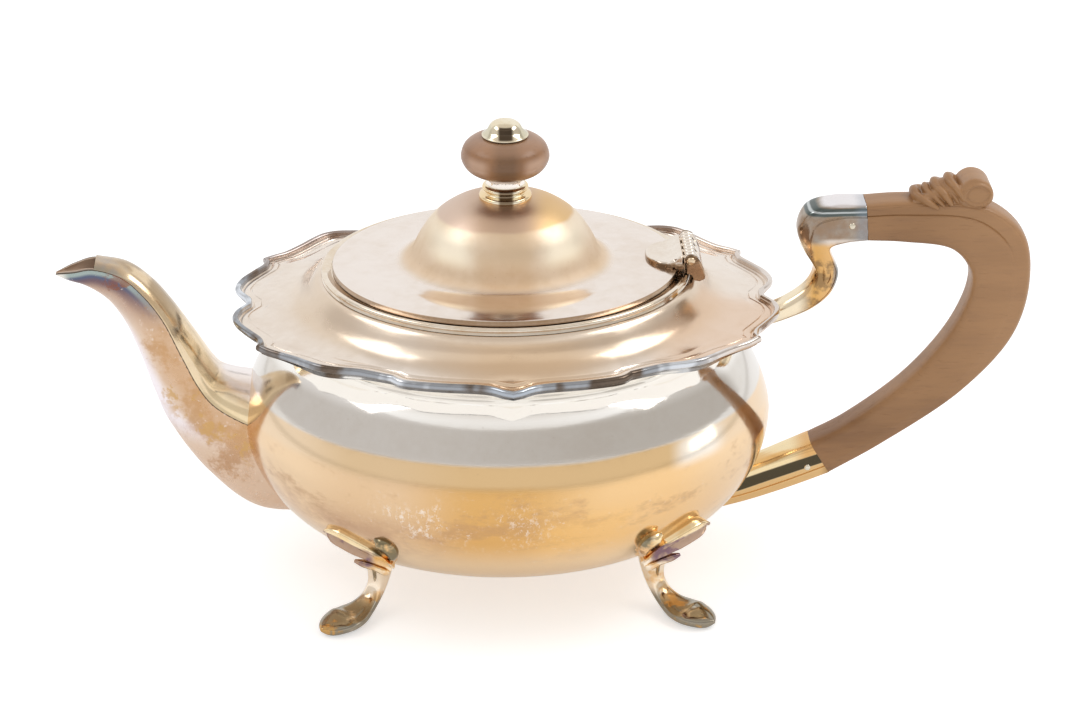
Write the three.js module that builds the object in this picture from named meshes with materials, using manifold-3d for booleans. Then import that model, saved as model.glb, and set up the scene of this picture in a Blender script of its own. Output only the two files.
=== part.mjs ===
// Footed teapot: an oval bellied pot on four cast feet, with a shaped raised border, a hinged domed lid,
// a seamed swan spout and a carved wooden handle held between two cast sockets.
// Lengths are millimetres, +Z is up, the spout points along -X and the handle along +X.

import * as THREE from 'three';
import { mergeVertices } from 'three/addons/utils/BufferGeometryUtils.js';
import Module from 'manifold-3d';

const wasm = await Module();
wasm.setup();

// Driving dimensions

// pot body: its plan is an oval, so a radius below is a half length along X
const bodyLength = 159;
const bodyWidth = 137;
const baseLength = 83;
const neckInset = 17;
const flareInset = 9.4;
const kneeOverlap = 3.3;
const bellyRise = 36.8;
const bodyHeight = 72.4;
const throatHeight = 4.7;
const lipDrop = 1.4;
const sheet = 1.2;

// shaped border round the edge of the shoulder
const borderOverhang = 1.4;
const borderDepth = 2.6;
const borderBand = 4.6;
const beadWidth = 2.7;

// shoulder, lid opening and the band round it
const shoulderRise = 8.1;
const ledgeWidth = 2.9;
const bandWidth = 3.2;
const bandHeight = 1.9;
const bandRecess = 1.0;
const collarDrop = 3.2;
const collarWall = 1.2;

// lid
const lidLength = 103;
const lidEdge = 0.75;
const lidSheet = 1.1;
const lidRise = 2.2;
const domeLength = 55;
const domeHeight = 18.6;
const lidRimDepth = 4;
const lidRimWall = 1;

// finial: collar, wooden knob, cap with its stud, and the nut inside the lid
const studRadius = 2;
const collarRadius = 7.8;
const collarHeight = 7.6;
const knobRadius = 13;
const knobHeight = 11.9;
const capRadius = 6.9;
const capHeight = 4.6;
const nutRadius = 5;
const nutHeight = 3;

// lid hinge
const hingeSetback = 2.8;
const hingeRise = 4.2;
const hingeLength = 20;
const barrelRadius = 1.75;
const hingePinRadius = 0.8;
const knuckles = 9;
const hingeLeafReach = 12.9;
const hingeLeafThickness = 2.1;

// spout
const spoutReach = 133.3;
const spoutRise = 14.7;
const spoutRootWidth = 32;
const spoutWall = 1.1;
const strainerHeight = 33;
const strainerWidth = 21;
const strainerHole = 1.6;
const strainerPitch = 6;

// handle
const handleReach = 157;
const handleRise = 29.9;
const handleStand = 3;
const handleWidth = 12;
const tenonLength = 11;
const tenonWidth = 7.6;
const socketWidth = 12;
const socketRootWidth = 8;
const rivetRadius = 1.1;
const scrollRadius = 3.7;

// feet
const footShift = 1.8;
const footAngle = 43;
const footReach = 24.7;
const footHeight = 19.8;
const footWidth = 12;
const leafReach = 22.5;

// clearances
const seatGap = 0.3;
const lidGap = 0.4;
const rimRingGap = 0.7;
const barrelGap = 0.35;
const pinGap = 0.08;
const boreGap = 0.3;
const overrun = 4;

// Facet counts
const bowlFacets = 32;
const lidFacets = 28;
const knobFacets = 16;
const barrelFacets = 10;
const gripFacets = 12;
const socketFacets = 10;
const footFacets = 8;
const curlFacets = 6;
const spoutArc = 6;

const degree = Math.PI / 180;
const planShare = bodyWidth / bodyLength;
const bodyRadius = bodyLength / 2;

// Heights above the table, from the feet up
const baseHeight = footHeight - kneeOverlap;
const bellyHeight = baseHeight + bellyRise;
const borderTop = baseHeight + bodyHeight;
const flareHeight = borderTop - borderDepth - lipDrop;
const neckHeight = flareHeight - throatHeight;
const shoulderTop = borderTop + shoulderRise;
const spoutTop = borderTop + spoutRise;
const handleTop = borderTop + handleRise;

// Materials
const metal = (color, roughness) => new THREE.MeshStandardMaterial({ color, roughness, metalness: 1 });
const wood = (color) => new THREE.MeshStandardMaterial({ color, roughness: 0.5, metalness: 0 });
const paleSilver = metal(0xdccfc0, 0.2);
const warmSilver = metal(0xd3ae7c, 0.25);
const darkSilver = metal(0x8f7a68, 0.3);
const blueSilver = metal(0x8e9aa8, 0.2);
const handleWood = wood(0xa5785a);

const pot = new THREE.Group();
const lidGroup = new THREE.Group();
pot.add(lidGroup);

function add(name, geometry, material, group = pot) {
  geometry.computeVertexNormals();
  const mesh = new THREE.Mesh(geometry, material);
  mesh.name = name;
  group.add(mesh);
  return mesh;
}

// Shape helpers

const at = (x, y, z) => new THREE.Vector3(x, y, z);
const flat = (x, y) => new THREE.Vector2(x, y);
const mix = (from, to, share) => from + (to - from) * share;
const power = (value, exponent) => Math.sign(value) * Math.abs(value) ** exponent;

// Keeps the positions only, merges shared corners, drops slivers and turns the faces outwards.
function closed(geometry) {
  const bare = geometry.clone();
  bare.deleteAttribute('normal');
  bare.deleteAttribute('uv');
  const merged = mergeVertices(bare);
  const place = merged.attributes.position;
  const corner = (index) => new THREE.Vector3().fromBufferAttribute(place, index);
  const faces = [];
  let volume = 0;
  for (let i = 0; i < merged.index.count; i += 3) {
    const [a, b, c] = [0, 1, 2].map((step) => merged.index.getX(i + step));
    if (a === b || b === c || c === a) continue;
    faces.push([a, b, c]);
    volume += corner(a).dot(corner(b).cross(corner(c)));
  }
  const turned = volume < 0 ? faces.map(([a, b, c]) => [a, c, b]) : faces;
  merged.setIndex(turned.flat());
  return merged;
}

function toSolid(geometry) {
  const shape = closed(geometry);
  const vertProperties = new Float32Array(shape.attributes.position.array);
  const triVerts = new Uint32Array(shape.index.array);
  return new wasm.Manifold(new wasm.Mesh({ numProp: 3, vertProperties, triVerts }));
}

function toGeometry(solid) {
  const { numProp, vertProperties, triVerts } = solid.getMesh();
  const places = [];
  for (let i = 0; i < vertProperties.length; i += numProp) {
    places.push(vertProperties[i], vertProperties[i + 1], vertProperties[i + 2]);
  }
  const geometry = new THREE.BufferGeometry();
  geometry.setAttribute('position', new THREE.Float32BufferAttribute(places, 3));
  geometry.setIndex(Array.from(triVerts));
  return geometry;
}

const cut = (geometry, ...tools) =>
  toGeometry(tools.reduce((solid, tool) => solid.subtract(toSolid(tool)), toSolid(geometry)));
const join = (geometry, ...others) =>
  toGeometry(others.reduce((solid, other) => solid.add(toSolid(other)), toSolid(geometry)));
const overlap = (geometry, other) => toGeometry(toSolid(geometry).intersect(toSolid(other)));

// Joins rings of equal count into one body, with a flat cap on each end unless the rings close on themselves.
function loft(rings, endless = false) {
  const count = rings[0].length;
  const places = rings.flat().flatMap((point) => [point.x, point.y, point.z]);
  const faces = [];
  const spans = endless ? rings.length : rings.length - 1;
  for (let i = 0; i < spans; i += 1) {
    const here = i * count;
    const next = ((i + 1) % rings.length) * count;
    for (let j = 0; j < count; j += 1) {
      const k = (j + 1) % count;
      faces.push(here + j, here + k, next + k, here + j, next + k, next + j);
    }
  }
  if (!endless) {
    capFaces(rings[0]).forEach(([a, b, c]) => faces.push(a, c, b));
    const last = (rings.length - 1) * count;
    capFaces(rings[rings.length - 1]).forEach(([a, b, c]) => faces.push(last + a, last + b, last + c));
  }
  const geometry = new THREE.BufferGeometry();
  geometry.setAttribute('position', new THREE.Float32BufferAttribute(places, 3));
  geometry.setIndex(faces);
  return closed(geometry);
}

// Triangles over a flat ring, worked out in the ring's own plane.
function capFaces(ring) {
  const middle = ring.reduce((sum, point) => sum.add(point), at(0, 0, 0)).divideScalar(ring.length);
  const normal = at(0, 0, 0);
  ring.forEach((point, i) => {
    const next = ring[(i + 1) % ring.length];
    normal.add(point.clone().sub(middle).cross(next.clone().sub(middle)));
  });
  normal.normalize();
  const along = ring[0].clone().sub(middle).projectOnPlane(normal).normalize();
  const across = normal.clone().cross(along);
  const outline = ring.map((point) => {
    const arm = point.clone().sub(middle);
    return flat(arm.dot(along), arm.dot(across));
  });
  return THREE.ShapeUtils.triangulateShape(outline, []);
}

// Turns a profile of [radius, height] points round Z and narrows it across Y to the share given.
function turned(profile, facets, share = 1) {
  const onAxis = profile[0][0] === 0 && profile[profile.length - 1][0] === 0;
  const loop = onAxis ? profile : [...profile, profile[0]];
  const geometry = new THREE.LatheGeometry(loop.map(([radius, height]) => flat(radius, height)), facets);
  geometry.rotateX(Math.PI / 2);
  geometry.scale(1, share, 1);
  return closed(geometry);
}

const oval = (profile, facets) => turned(profile, facets, planShare);

// Quarter of a rounded square from a flat start to an upright end.
function quarter(start, end, roundness, steps) {
  const points = [];
  for (let i = 0; i <= steps; i += 1) {
    const angle = (i / steps) * (Math.PI / 2);
    points.push([
      mix(start[0], end[0], power(Math.sin(angle), 2 / roundness)),
      mix(end[1], start[1], power(Math.cos(angle), 2 / roundness)),
    ]);
  }
  return points;
}

// Moves an open profile sideways by a distance, along the normals between its points.
function offset(profile, distance) {
  return profile.map((point, i) => {
    const before = profile[Math.max(i - 1, 0)];
    const after = profile[Math.min(i + 1, profile.length - 1)];
    const run = after[0] - before[0];
    const rise = after[1] - before[1];
    const length = Math.hypot(run, rise);
    return [point[0] + (rise / length) * distance, point[1] - (run / length) * distance];
  });
}

// A shell between a profile that starts on the axis and the same profile moved inwards by the wall.
function shellProfile(outside, wall) {
  const inside = offset(outside, -wall);
  inside[0] = [0, outside[0][1] + wall];
  return [...outside, ...inside.reverse()];
}

// Points of a rounded bar section, each as a share across the bar and a share of the half width.
function barSection(points, roundness) {
  const section = [];
  for (let i = 0; i < points; i += 1) {
    const angle = ((i + 0.5) / points) * 2 * Math.PI;
    section.push([power(Math.cos(angle), 2 / roundness), power(Math.sin(angle), 2 / roundness)]);
  }
  return section;
}

// A bar in the XZ plane between two edge curves, with its half width given along the way.
function bar(innerPoints, outerPoints, halfWidth, section, stations) {
  const inner = new THREE.SplineCurve(innerPoints.map(([x, z]) => flat(x, z)));
  const outer = new THREE.SplineCurve(outerPoints.map(([x, z]) => flat(x, z)));
  const rings = [];
  for (let i = 0; i <= stations; i += 1) {
    const share = i / stations;
    const low = inner.getPoint(share);
    const high = outer.getPoint(share);
    rings.push(section.map(([across, side]) => {
      const way = (across + 1) / 2;
      return at(mix(low.x, high.x, way), side * halfWidth(share), mix(low.y, high.y, way));
    }));
  }
  return loft(rings);
}

// A rod along Y with its middle at the place given.
function crossRod(radius, length, x, z, facets) {
  const rod = new THREE.CylinderGeometry(radius, radius, length, facets);
  rod.translate(x, 0, 0);
  return rod.translate(0, 0, z);
}

function block(sizeX, sizeY, sizeZ, x, y, z) {
  return new THREE.BoxGeometry(sizeX, sizeY, sizeZ).translate(x, y, z);
}

// Pot body

const baseRadius = baseLength / 2;
const neckRadius = bodyRadius - neckInset;
const borderRadius = bodyRadius + borderOverhang;
const flareRadius = borderRadius - flareInset;
const bellyRoundness = 1.94;
const throatRoundness = 1.55;
const lowerBelly = quarter([baseRadius, baseHeight], [bodyRadius, bellyHeight], bellyRoundness, 6);
const upperBelly = quarter([neckRadius, neckHeight], [bodyRadius, bellyHeight], throatRoundness, 4);
const flareShares = [[0.12, 0.35], [0.45, 0.75], [1, 1]];
const flare = flareShares.map(([out, up]) => [mix(neckRadius, flareRadius, out), mix(neckHeight, flareHeight, up)]);
const bowlOutside = [[0, baseHeight], ...lowerBelly, ...upperBelly.reverse().slice(1), ...flare];
const bowlShell = oval(shellProfile(bowlOutside, sheet), bowlFacets);

// the same outside grown by the seat gap cuts every piece that is fixed to the pot
const grown = offset(bowlOutside, seatGap);
grown[0] = [0, baseHeight - seatGap];
const bowlTool = oval([...grown, [0, flareHeight]], bowlFacets);

function ovalPlug(height, width, length, x, z) {
  const plug = new THREE.CylinderGeometry(height / 2, height / 2, length, 20);
  plug.rotateZ(Math.PI / 2);
  plug.scale(1, width / height, 1);
  return plug.translate(x, 0, z);
}

const strainerZ = bellyHeight - strainerHeight * 0.28;
const plugLength = 2 * overrun + bodyRadius / 4;
const spoutHole = ovalPlug(strainerHeight, strainerWidth, plugLength, -bodyRadius, strainerZ);
add('body_bowl', cut(bowlShell, spoutHole), warmSilver);

// Pierced strainer set into the hole behind the spout
const strainerPlug = ovalPlug(
  strainerHeight - 2 * seatGap, strainerWidth - 2 * seatGap, plugLength, -bodyRadius, strainerZ);
const strainerHoles = [];
const rowPitch = strainerPitch * Math.sin(60 * degree);
const rowShares = [-2, -1, 0, 1, 2];
for (const row of rowShares) {
  const odd = Math.abs(row) % 2;
  const across = odd ? [-0.5, 0.5] : [-1, 0, 1];
  for (const step of across) {
    const hole = new THREE.CylinderGeometry(strainerHole, strainerHole, plugLength + overrun, 6);
    hole.rotateZ(Math.PI / 2);
    hole.translate(-bodyRadius, step * strainerPitch, strainerZ + row * rowPitch);
    const share = Math.hypot(step * strainerPitch / strainerWidth, row * rowPitch / strainerHeight);
    if (share < 0.4) strainerHoles.push(hole);
  }
}
add('spout_strainer', cut(overlap(bowlShell, strainerPlug), ...strainerHoles), paleSilver);

// Shaped border: one quadrant of its edge, as shares of its half length and half width, from the handle's end
// to the middle of the side. Each run is smooth, and the runs meet in the corners of the pattern.
const borderRunShares = [
  [[0.960, 0], [0.961, 0.040], [0.974, 0.075], [0.993, 0.120], [1, 0.175], [0.982, 0.245], [0.940, 0.325],
    [0.904, 0.395], [0.897, 0.438]],
  [[0.907, 0.466], [0.895, 0.503], [0.835, 0.560], [0.745, 0.648], [0.656, 0.710], [0.545, 0.752]],
  [[0.545, 0.752], [0.427, 0.818]],
  [[0.423, 0.826], [0.398, 0.858], [0.350, 0.882], [0.253, 0.909], [0.125, 0.930], [0.075, 0.948], [0.035, 0.983],
    [0, 1]],
];
const runSteps = [6, 4, 1, 5];
const borderHalfWidth = borderRadius * planShare * 0.97;

function quadrant() {
  const points = [];
  borderRunShares.forEach((run, index) => {
    const curve = new THREE.SplineCurve(run.map(([x, y]) => flat(x, y)));
    const first = index > 0 && run[0][0] === borderRunShares[index - 1].at(-1)[0] ? 1 : 0;
    for (let i = first; i <= runSteps[index]; i += 1) {
      const point = curve.getPoint(i / runSteps[index]);
      points.push(flat(point.x * borderRadius, point.y * borderHalfWidth));
    }
  });
  return points;
}

function borderEdge() {
  const side = quadrant();
  const turnedSide = side.slice(0, -1).reverse();
  const half = [...side, ...turnedSide.map((point) => flat(-point.x, point.y))];
  const otherHalf = half.slice(1, -1).reverse().map((point) => flat(point.x, -point.y));
  return [...half, ...otherHalf];
}

const edge = borderEdge();

// border section: how far in from the edge, and how far down from the top
const borderSection = [
  [0, borderDepth * 0.5], [beadWidth * 0.2, borderDepth * 0.12], [beadWidth * 0.55, 0],
  [beadWidth * 0.9, borderDepth * 0.2], [beadWidth, borderDepth * 0.42], [borderBand, borderDepth * 0.44],
  [borderBand, borderDepth * 0.88], [beadWidth * 0.4, borderDepth],
];
const borderRings = edge.map((point) => {
  const distance = point.length();
  return borderSection.map(([inward, down]) => {
    const share = (distance - inward) / distance;
    return at(point.x * share, point.y * share, borderTop - down);
  });
});
add('rim_border', loft(borderRings, true), blueSilver);

// Shoulder: from the border's inner edge over a hollow and a rounded roll to the lid opening
const lidRadius = lidLength / 2;
const openingRadius = lidRadius - ledgeWidth;
const shoulderInner = openingRadius + collarWall + seatGap;
const rollRadius = lidRadius + bandWidth;
const shoulderLow = borderTop - borderDepth * 0.55;
const rollShares = [[0.62, 0.42], [0.42, 0.72], [0.22, 0.91], [0, 1]];
const shoulderSpan = bodyRadius * 0.86 - rollRadius;
const roll = rollShares.map(([out, up]) => [rollRadius + out * shoulderSpan, mix(shoulderLow, shoulderTop, up)]);
roll.push([shoulderInner, shoulderTop]);

// one radial section of the shoulder under the edge point given, top side first and underside back
function shoulderRing(point) {
  const distance = point.length();
  const ovalRadius = Math.hypot(point.x, point.y / planShare);
  const outerShare = (distance - borderBand - seatGap) / distance;
  const outer = ovalRadius * outerShare;
  const hollow = mix(outer, roll[0][0], 0.5);
  const top = [[outer, shoulderLow], [hollow, mix(shoulderLow, roll[0][1], 0.25)], ...roll];
  const under = offset(top, -sheet).filter((point, index) => index % 2 === 0).reverse();
  under[0] = [shoulderInner, shoulderTop - sheet];
  under[under.length - 1] = [outer, shoulderLow - sheet];
  return [...top, ...under].map(([radius, height]) =>
    at(point.x * radius / ovalRadius, point.y * radius / ovalRadius, height));
}

add('body_shoulder', loft(edge.map(shoulderRing), true), paleSilver);

// Band round the lid opening, with the ledge that carries the lid and the collar that guides it
const ledgeRadius = lidRadius + lidGap;
const bandBottom = shoulderTop + seatGap;
const bandTop = bandBottom + bandHeight;
const ledgeTop = bandTop - bandRecess - lidGap / 2;
const collarBottom = shoulderTop - collarDrop;
const bandProfile = [
  [rollRadius, bandBottom], [rollRadius, bandTop - bandHeight * 0.2], [rollRadius - bandHeight * 0.3, bandTop],
  [ledgeRadius, bandTop], [ledgeRadius, ledgeTop], [openingRadius, ledgeTop], [openingRadius, collarBottom],
  [openingRadius + collarWall, collarBottom], [openingRadius + collarWall, bandBottom],
];
add('opening_bezel', oval(bandProfile, lidFacets), warmSilver);

// Lid: a gently rising flange and a bell-shaped dome
const lidBottom = ledgeTop + seatGap;
const domeRadius = domeLength / 2;
const domeFoot = lidBottom + lidEdge + lidRise;
const domeTop = domeFoot + domeHeight;
const studBore = studRadius + boreGap;
const domeShares = [
  [1.11, 0.0], [1.02, 0.035], [0.97, 0.12], [0.93, 0.28], [0.87, 0.47], [0.78, 0.655], [0.66, 0.81], [0.5, 0.925],
  [0.32, 0.99],
];
const dome = domeShares.map(([out, up]) => [domeRadius * out, domeFoot + domeHeight * up]);
const lidOutside = [
  [lidRadius, lidBottom + lidEdge], [mix(lidRadius, domeRadius, 0.33), lidBottom + lidEdge + lidRise * 0.3],
  [mix(lidRadius, domeRadius, 0.66), lidBottom + lidEdge + lidRise * 0.66], ...dome, [0, domeTop],
];
const keptInside = (point, index) => index % 2 === 0 || point[0] < domeRadius / 2;
const lidInside = offset(lidOutside, -lidSheet).filter(keptInside).reverse();
lidInside[0] = [0, domeTop - lidSheet];
lidInside[lidInside.length - 1] = [lidRadius, lidBottom];
const lidLoop = [...lidInside, ...lidOutside];
const studHole = new THREE.CylinderGeometry(studBore, studBore, overrun, 16).rotateX(Math.PI / 2);
studHole.translate(0, 0, domeTop);
add('lid', cut(oval(lidLoop, lidFacets), studHole), paleSilver, lidGroup);

// Locating ring under the lid
const ringRadius = openingRadius - rimRingGap;
const ringTop = lidBottom - seatGap / 3;
const ringProfile = [
  [ringRadius, ringTop], [ringRadius, ringTop - lidRimDepth], [ringRadius - lidRimWall, ringTop - lidRimDepth],
  [ringRadius - lidRimWall, ringTop],
];
add('lid_inner_rim', oval(ringProfile, lidFacets), paleSilver, lidGroup);

// Finial
const collarBottomZ = domeTop + seatGap;
const collarShares = [
  [0.92, 0.03], [1, 0.11], [1, 0.2], [0.92, 0.28], [0.8, 0.32], [0.78, 0.4], [0.87, 0.46], [0.87, 0.58],
  [0.76, 0.65], [0.73, 1],
];
const collarProfile = [
  [studBore, collarBottomZ], ...collarShares.map(([out, up]) => [collarRadius * out, collarBottomZ + collarHeight * up]),
  [studBore, collarBottomZ + collarHeight],
];
add('finial_collar', turned(collarProfile, knobFacets), warmSilver, lidGroup);

const knobBottom = collarBottomZ + collarHeight + seatGap;
const knobShares = [
  [0.42, 0], [0.68, 0.06], [0.89, 0.21], [1, 0.45], [0.96, 0.66], [0.84, 0.84], [0.62, 0.96], [0.44, 1],
];
const knobProfile = [
  [studBore, knobBottom], ...knobShares.map(([out, up]) => [knobRadius * out, knobBottom + knobHeight * up]),
  [studBore, knobBottom + knobHeight],
];
add('finial_knob', turned(knobProfile, knobFacets), handleWood, lidGroup);

const capBottom = knobBottom + knobHeight + seatGap;
const nutTop = domeTop - lidSheet - seatGap;
const studBottom = nutTop - nutHeight - studRadius;
const capShares = [
  [1, 0.08], [0.96, 0.19], [0.8, 0.29], [0.71, 0.42], [0.65, 0.66], [0.46, 0.88], [0.2, 0.985], [0, 1],
];
const capProfile = [
  [0, studBottom], [studRadius * 0.8, studBottom], [studRadius, studBottom + studRadius * 0.3], [studRadius, capBottom],
  [capRadius * 0.9, capBottom], ...capShares.map(([out, up]) => [capRadius * out, capBottom + capHeight * up]),
];
add('finial_cap', turned(capProfile, knobFacets), paleSilver, lidGroup);

const nutProfile = [
  [studBore, nutTop], [studBore, nutTop - nutHeight], [nutRadius, nutTop - nutHeight], [nutRadius, nutTop],
];
add('finial_nut', turned(nutProfile, 6), warmSilver, lidGroup);

// Hinge: knuckles along Y share one pin, the odd ones on the bracket and the even ones on the leaf
const hingeX = lidRadius + hingeSetback;
const hingeHeight = bandTop + hingeRise;
const knucklePitch = hingeLength / knuckles;
const knuckleY = (index) => (index - (knuckles - 1) / 2) * knucklePitch;
const barrel = (radius, length) => crossRod(radius, length, hingeX, hingeHeight, barrelFacets);
const hingeBore = barrel(hingePinRadius + pinGap, hingeLength + overrun);
const barrelBand = (index, radius, length) => barrel(radius, length).translate(0, knuckleY(index), 0);

// the bracket stands on the band and the shoulder, and its back slopes down over the roll
const bracketFoot = shoulderTop - borderDepth;
const bracketRise = hingeHeight - bracketFoot;
const bracketShares = [
  [-0.7, 1], [-0.7, 0.3], [0.6, 0.24], [2.4, 0.34], [2.3, 0.52], [1.7, 0.86], [1.15, 1.08], [0.6, 1.15],
];
const bracketOutline = bracketShares.map(([out, up]) =>
  flat(hingeX + barrelRadius * out, bracketFoot + bracketRise * up));
function slab(outline, depth) {
  const shape = new THREE.Shape(outline);
  const geometry = new THREE.ExtrudeGeometry(shape, { depth, bevelEnabled: false });
  geometry.translate(0, 0, -depth / 2);
  return geometry.rotateX(Math.PI / 2);
}

// what lies under the bracket: the shoulder's top and the band, both raised by the seat gap
const seatProfile = [
  [0, shoulderLow - sheet], [roll[0][0], shoulderLow - sheet], ...roll.slice(0, -1).map(([r, z]) => [r, z + seatGap]),
  [rollRadius + seatGap, shoulderTop + seatGap], [rollRadius + seatGap, bandTop + seatGap], [0, bandTop + seatGap],
];
const seatTool = oval(seatProfile, bowlFacets);
const reliefRadius = barrelRadius * 1.5 + barrelGap;
const bracketGaps = [];
const leafKnuckles = [];
for (let index = 0; index < knuckles; index += 1) {
  if (index % 2 === 1) {
    bracketGaps.push(barrelBand(index, reliefRadius, knucklePitch));
    leafKnuckles.push(barrelBand(index, barrelRadius, knucklePitch - barrelGap));
  }
}
const bracket = join(slab(bracketOutline, hingeLength), barrel(barrelRadius, hingeLength));
add('hinge_bracket', cut(bracket, ...bracketGaps, seatTool, hingeBore), darkSilver);

// the leaf lies on the lid: a plate with a stepped, lobed outline, joined to its knuckles by short webs
const leafEnd = hingeX - hingeLeafReach;
const leafStart = hingeX - barrelRadius - barrelGap;
const leafShares = [
  [0, 0.45], [0.16, 0.46], [0.25, 0.4], [0.34, 0.44], [0.5, 0.42], [0.68, 0.34], [0.85, 0.23], [0.95, 0.13], [1, 0.04],
];
const leafSide = leafShares.map(([out, side]) => flat(mix(leafStart, leafEnd, out), side * hingeLength));
const leafOtherSide = leafSide.map((point) => flat(point.x, -point.y)).reverse();
const leafBottom = lidBottom + lidEdge + lidRise * 0.3 + 2 * seatGap;
const leafPlate = new THREE.ExtrudeGeometry(new THREE.Shape([...leafSide, ...leafOtherSide]), {
  depth: hingeLeafThickness, bevelEnabled: false,
});
leafPlate.translate(0, 0, leafBottom);

// its root swells up to the height of the barrel
const rootShares = [[0, 0], [0, 1.7], [0.08, 1.8], [0.2, 1.5], [0.38, 0.9], [0.38, 0]];
const leafRoot = slab(rootShares.map(([out, up]) =>
  flat(mix(leafStart, leafEnd, out), leafBottom + hingeLeafThickness * up)), hingeLength * 0.88);
const leafWebs = leafKnuckles.map((knuckle, index) => {
  const web = block(barrelRadius * 1.4, knucklePitch - barrelGap, barrelRadius * 0.9, 0, 0, 0);
  return web.translate(leafStart, knuckleY(index * 2 + 1), leafBottom + hingeLeafThickness - barrelRadius * 0.35);
});
const leaf = cut(join(leafPlate, leafRoot, ...leafKnuckles, ...leafWebs), hingeBore);
add('hinge_leaf', leaf, darkSilver, lidGroup);

const pinHead = barrelRadius * 0.75;
const hingePin = join(
  barrel(hingePinRadius, hingeLength + pinHead),
  ...[-1, 1].map((side) => crossRod(barrelRadius * 0.9, pinHead, hingeX, hingeHeight, barrelFacets)
    .translate(0, side * (hingeLength / 2 + pinGap + pinHead / 2), 0)));
add('hinge_pin', hingePin, warmSilver);

// Spout: seam, crest and keel as shares of the way from the root to the lip and of the top height, with the width.
// The crest ends at the back of the mouth, and the lower half runs on to the lip.
const spoutRows = [
  { seam: [0.004, 0.470], crest: [0.004, 0.600], keel: [0.020, 0.195], width: 1.12 },
  { seam: [0.167, 0.492], crest: [0.183, 0.614], keel: [0.290, 0.205], width: 1 },
  { seam: [0.306, 0.523], crest: [0.298, 0.624], keel: [0.476, 0.324], width: 0.906 },
  { seam: [0.428, 0.570], crest: [0.396, 0.644], keel: [0.610, 0.479], width: 0.738 },
  { seam: [0.492, 0.630], crest: [0.437, 0.672], keel: [0.664, 0.588], width: 0.644 },
  { seam: [0.551, 0.726], crest: [0.499, 0.751], keel: [0.703, 0.689], width: 0.569 },
  { seam: [0.610, 0.826], crest: [0.574, 0.843], keel: [0.747, 0.785], width: 0.488 },
  { seam: [0.675, 0.901], crest: [0.647, 0.919], keel: [0.789, 0.847], width: 0.425 },
  { seam: [0.753, 0.957], crest: [0.737, 0.976], keel: [0.832, 0.884], width: 0.363 },
  { seam: [0.855, 0.980], crest: [0.850, 0.999], keel: [0.894, 0.915], width: 0.300 },
  { seam: [0.930, 0.968], crest: null, keel: [0.954, 0.931], width: 0.219 },
  { seam: [0.998, 0.953], crest: null, keel: [1.000, 0.946], width: 0.05 },
];
const spoutRoot = bodyRadius * 0.65;
const spoutPlace = ([out, up]) => flat(-mix(spoutRoot, spoutReach, out), spoutTop * up);
const mouthRow = spoutRows.findIndex((row) => row.crest === null) - 1;
const seamCurve = new THREE.SplineCurve(spoutRows.map((row) => spoutPlace(row.seam)));
const keelCurve = new THREE.SplineCurve(spoutRows.map((row) => spoutPlace(row.keel)));
const crestCurve = new THREE.SplineCurve(spoutRows.slice(0, mouthRow + 1).map((row) => spoutPlace(row.crest)));
const widthCurve = new THREE.SplineCurve(
  spoutRows.map((row, index) => flat(index, row.width * spoutRootWidth / 2)));

// one ring of a half shell: the outer arc from side to side, and the inner arc back
function halfRing(seam, far, halfWidth, roundness) {
  const reach = seam.distanceTo(far);
  const wall = Math.min(spoutWall, reach * 0.4, halfWidth * 0.4);
  const way = far.clone().sub(seam).divideScalar(reach);
  const arc = (deep, wide) => {
    const points = [];
    for (let i = 0; i <= spoutArc; i += 1) {
      const angle = (i / spoutArc) * Math.PI;
      const out = seatGap / 2 + (deep - seatGap / 2) * power(Math.sin(angle), 2 / roundness);
      points.push(at(seam.x + way.x * out, wide * power(Math.cos(angle), 2 / roundness), seam.y + way.y * out));
    }
    return points;
  };
  return [...arc(reach, halfWidth), ...arc(reach - wall, halfWidth - wall).reverse()];
}

function halfShell(far, lastRow, roundness, steps) {
  const rings = [];
  const rows = spoutRows.length - 1;
  for (let i = 0; i <= steps; i += 1) {
    const row = (i / steps) * lastRow;
    rings.push(halfRing(
      seamCurve.getPoint(row / rows), far(row), widthCurve.getPoint(row / rows).y, roundness));
  }
  return cut(loft(rings), bowlTool);
}

const lowerHalf = halfShell((row) => keelCurve.getPoint(row / (spoutRows.length - 1)), spoutRows.length - 1, 2.2, 16);
const upperHalf = halfShell((row) => crestCurve.getPoint(row / mouthRow), mouthRow, 1.9, 12);
add('spout_lower_half', lowerHalf, darkSilver);
add('spout_upper_half', upperHalf, warmSilver);

// Handle: the wooden grip, as pairs of inner and outer edge points. Their places along X are shares of the way from
// just outside the belly to the reach, or of the body's half length where negative; heights are shares of the top.
const gripInnerShares = [
  [0.332, 0.896], [0.477, 0.890], [0.671, 0.867], [0.747, 0.810], [0.751, 0.753], [0.686, 0.648],
  [0.517, 0.510], [0.271, 0.386], [0.132, 0.338],
];
const gripOuterShares = [
  [0.321, 0.995], [0.477, 1], [0.800, 0.984], [0.960, 0.905], [1.000, 0.779], [0.943, 0.631], [0.751, 0.480],
  [0.423, 0.328], [0.216, 0.250],
];
const handleRoot = bodyRadius + handleStand;
const handleX = (out) => (out < 0 ? handleRoot + bodyRadius * out : mix(handleRoot, handleReach, out));
const handlePlace = ([out, up]) => [handleX(out), handleTop * up];
const gripInner = gripInnerShares.map(handlePlace);
const gripOuter = gripOuterShares.map(handlePlace);
const gripSection = barSection(gripFacets, 3.2);
const gripBar = bar(gripInner, gripOuter, () => handleWidth / 2, gripSection, 18);

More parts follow.
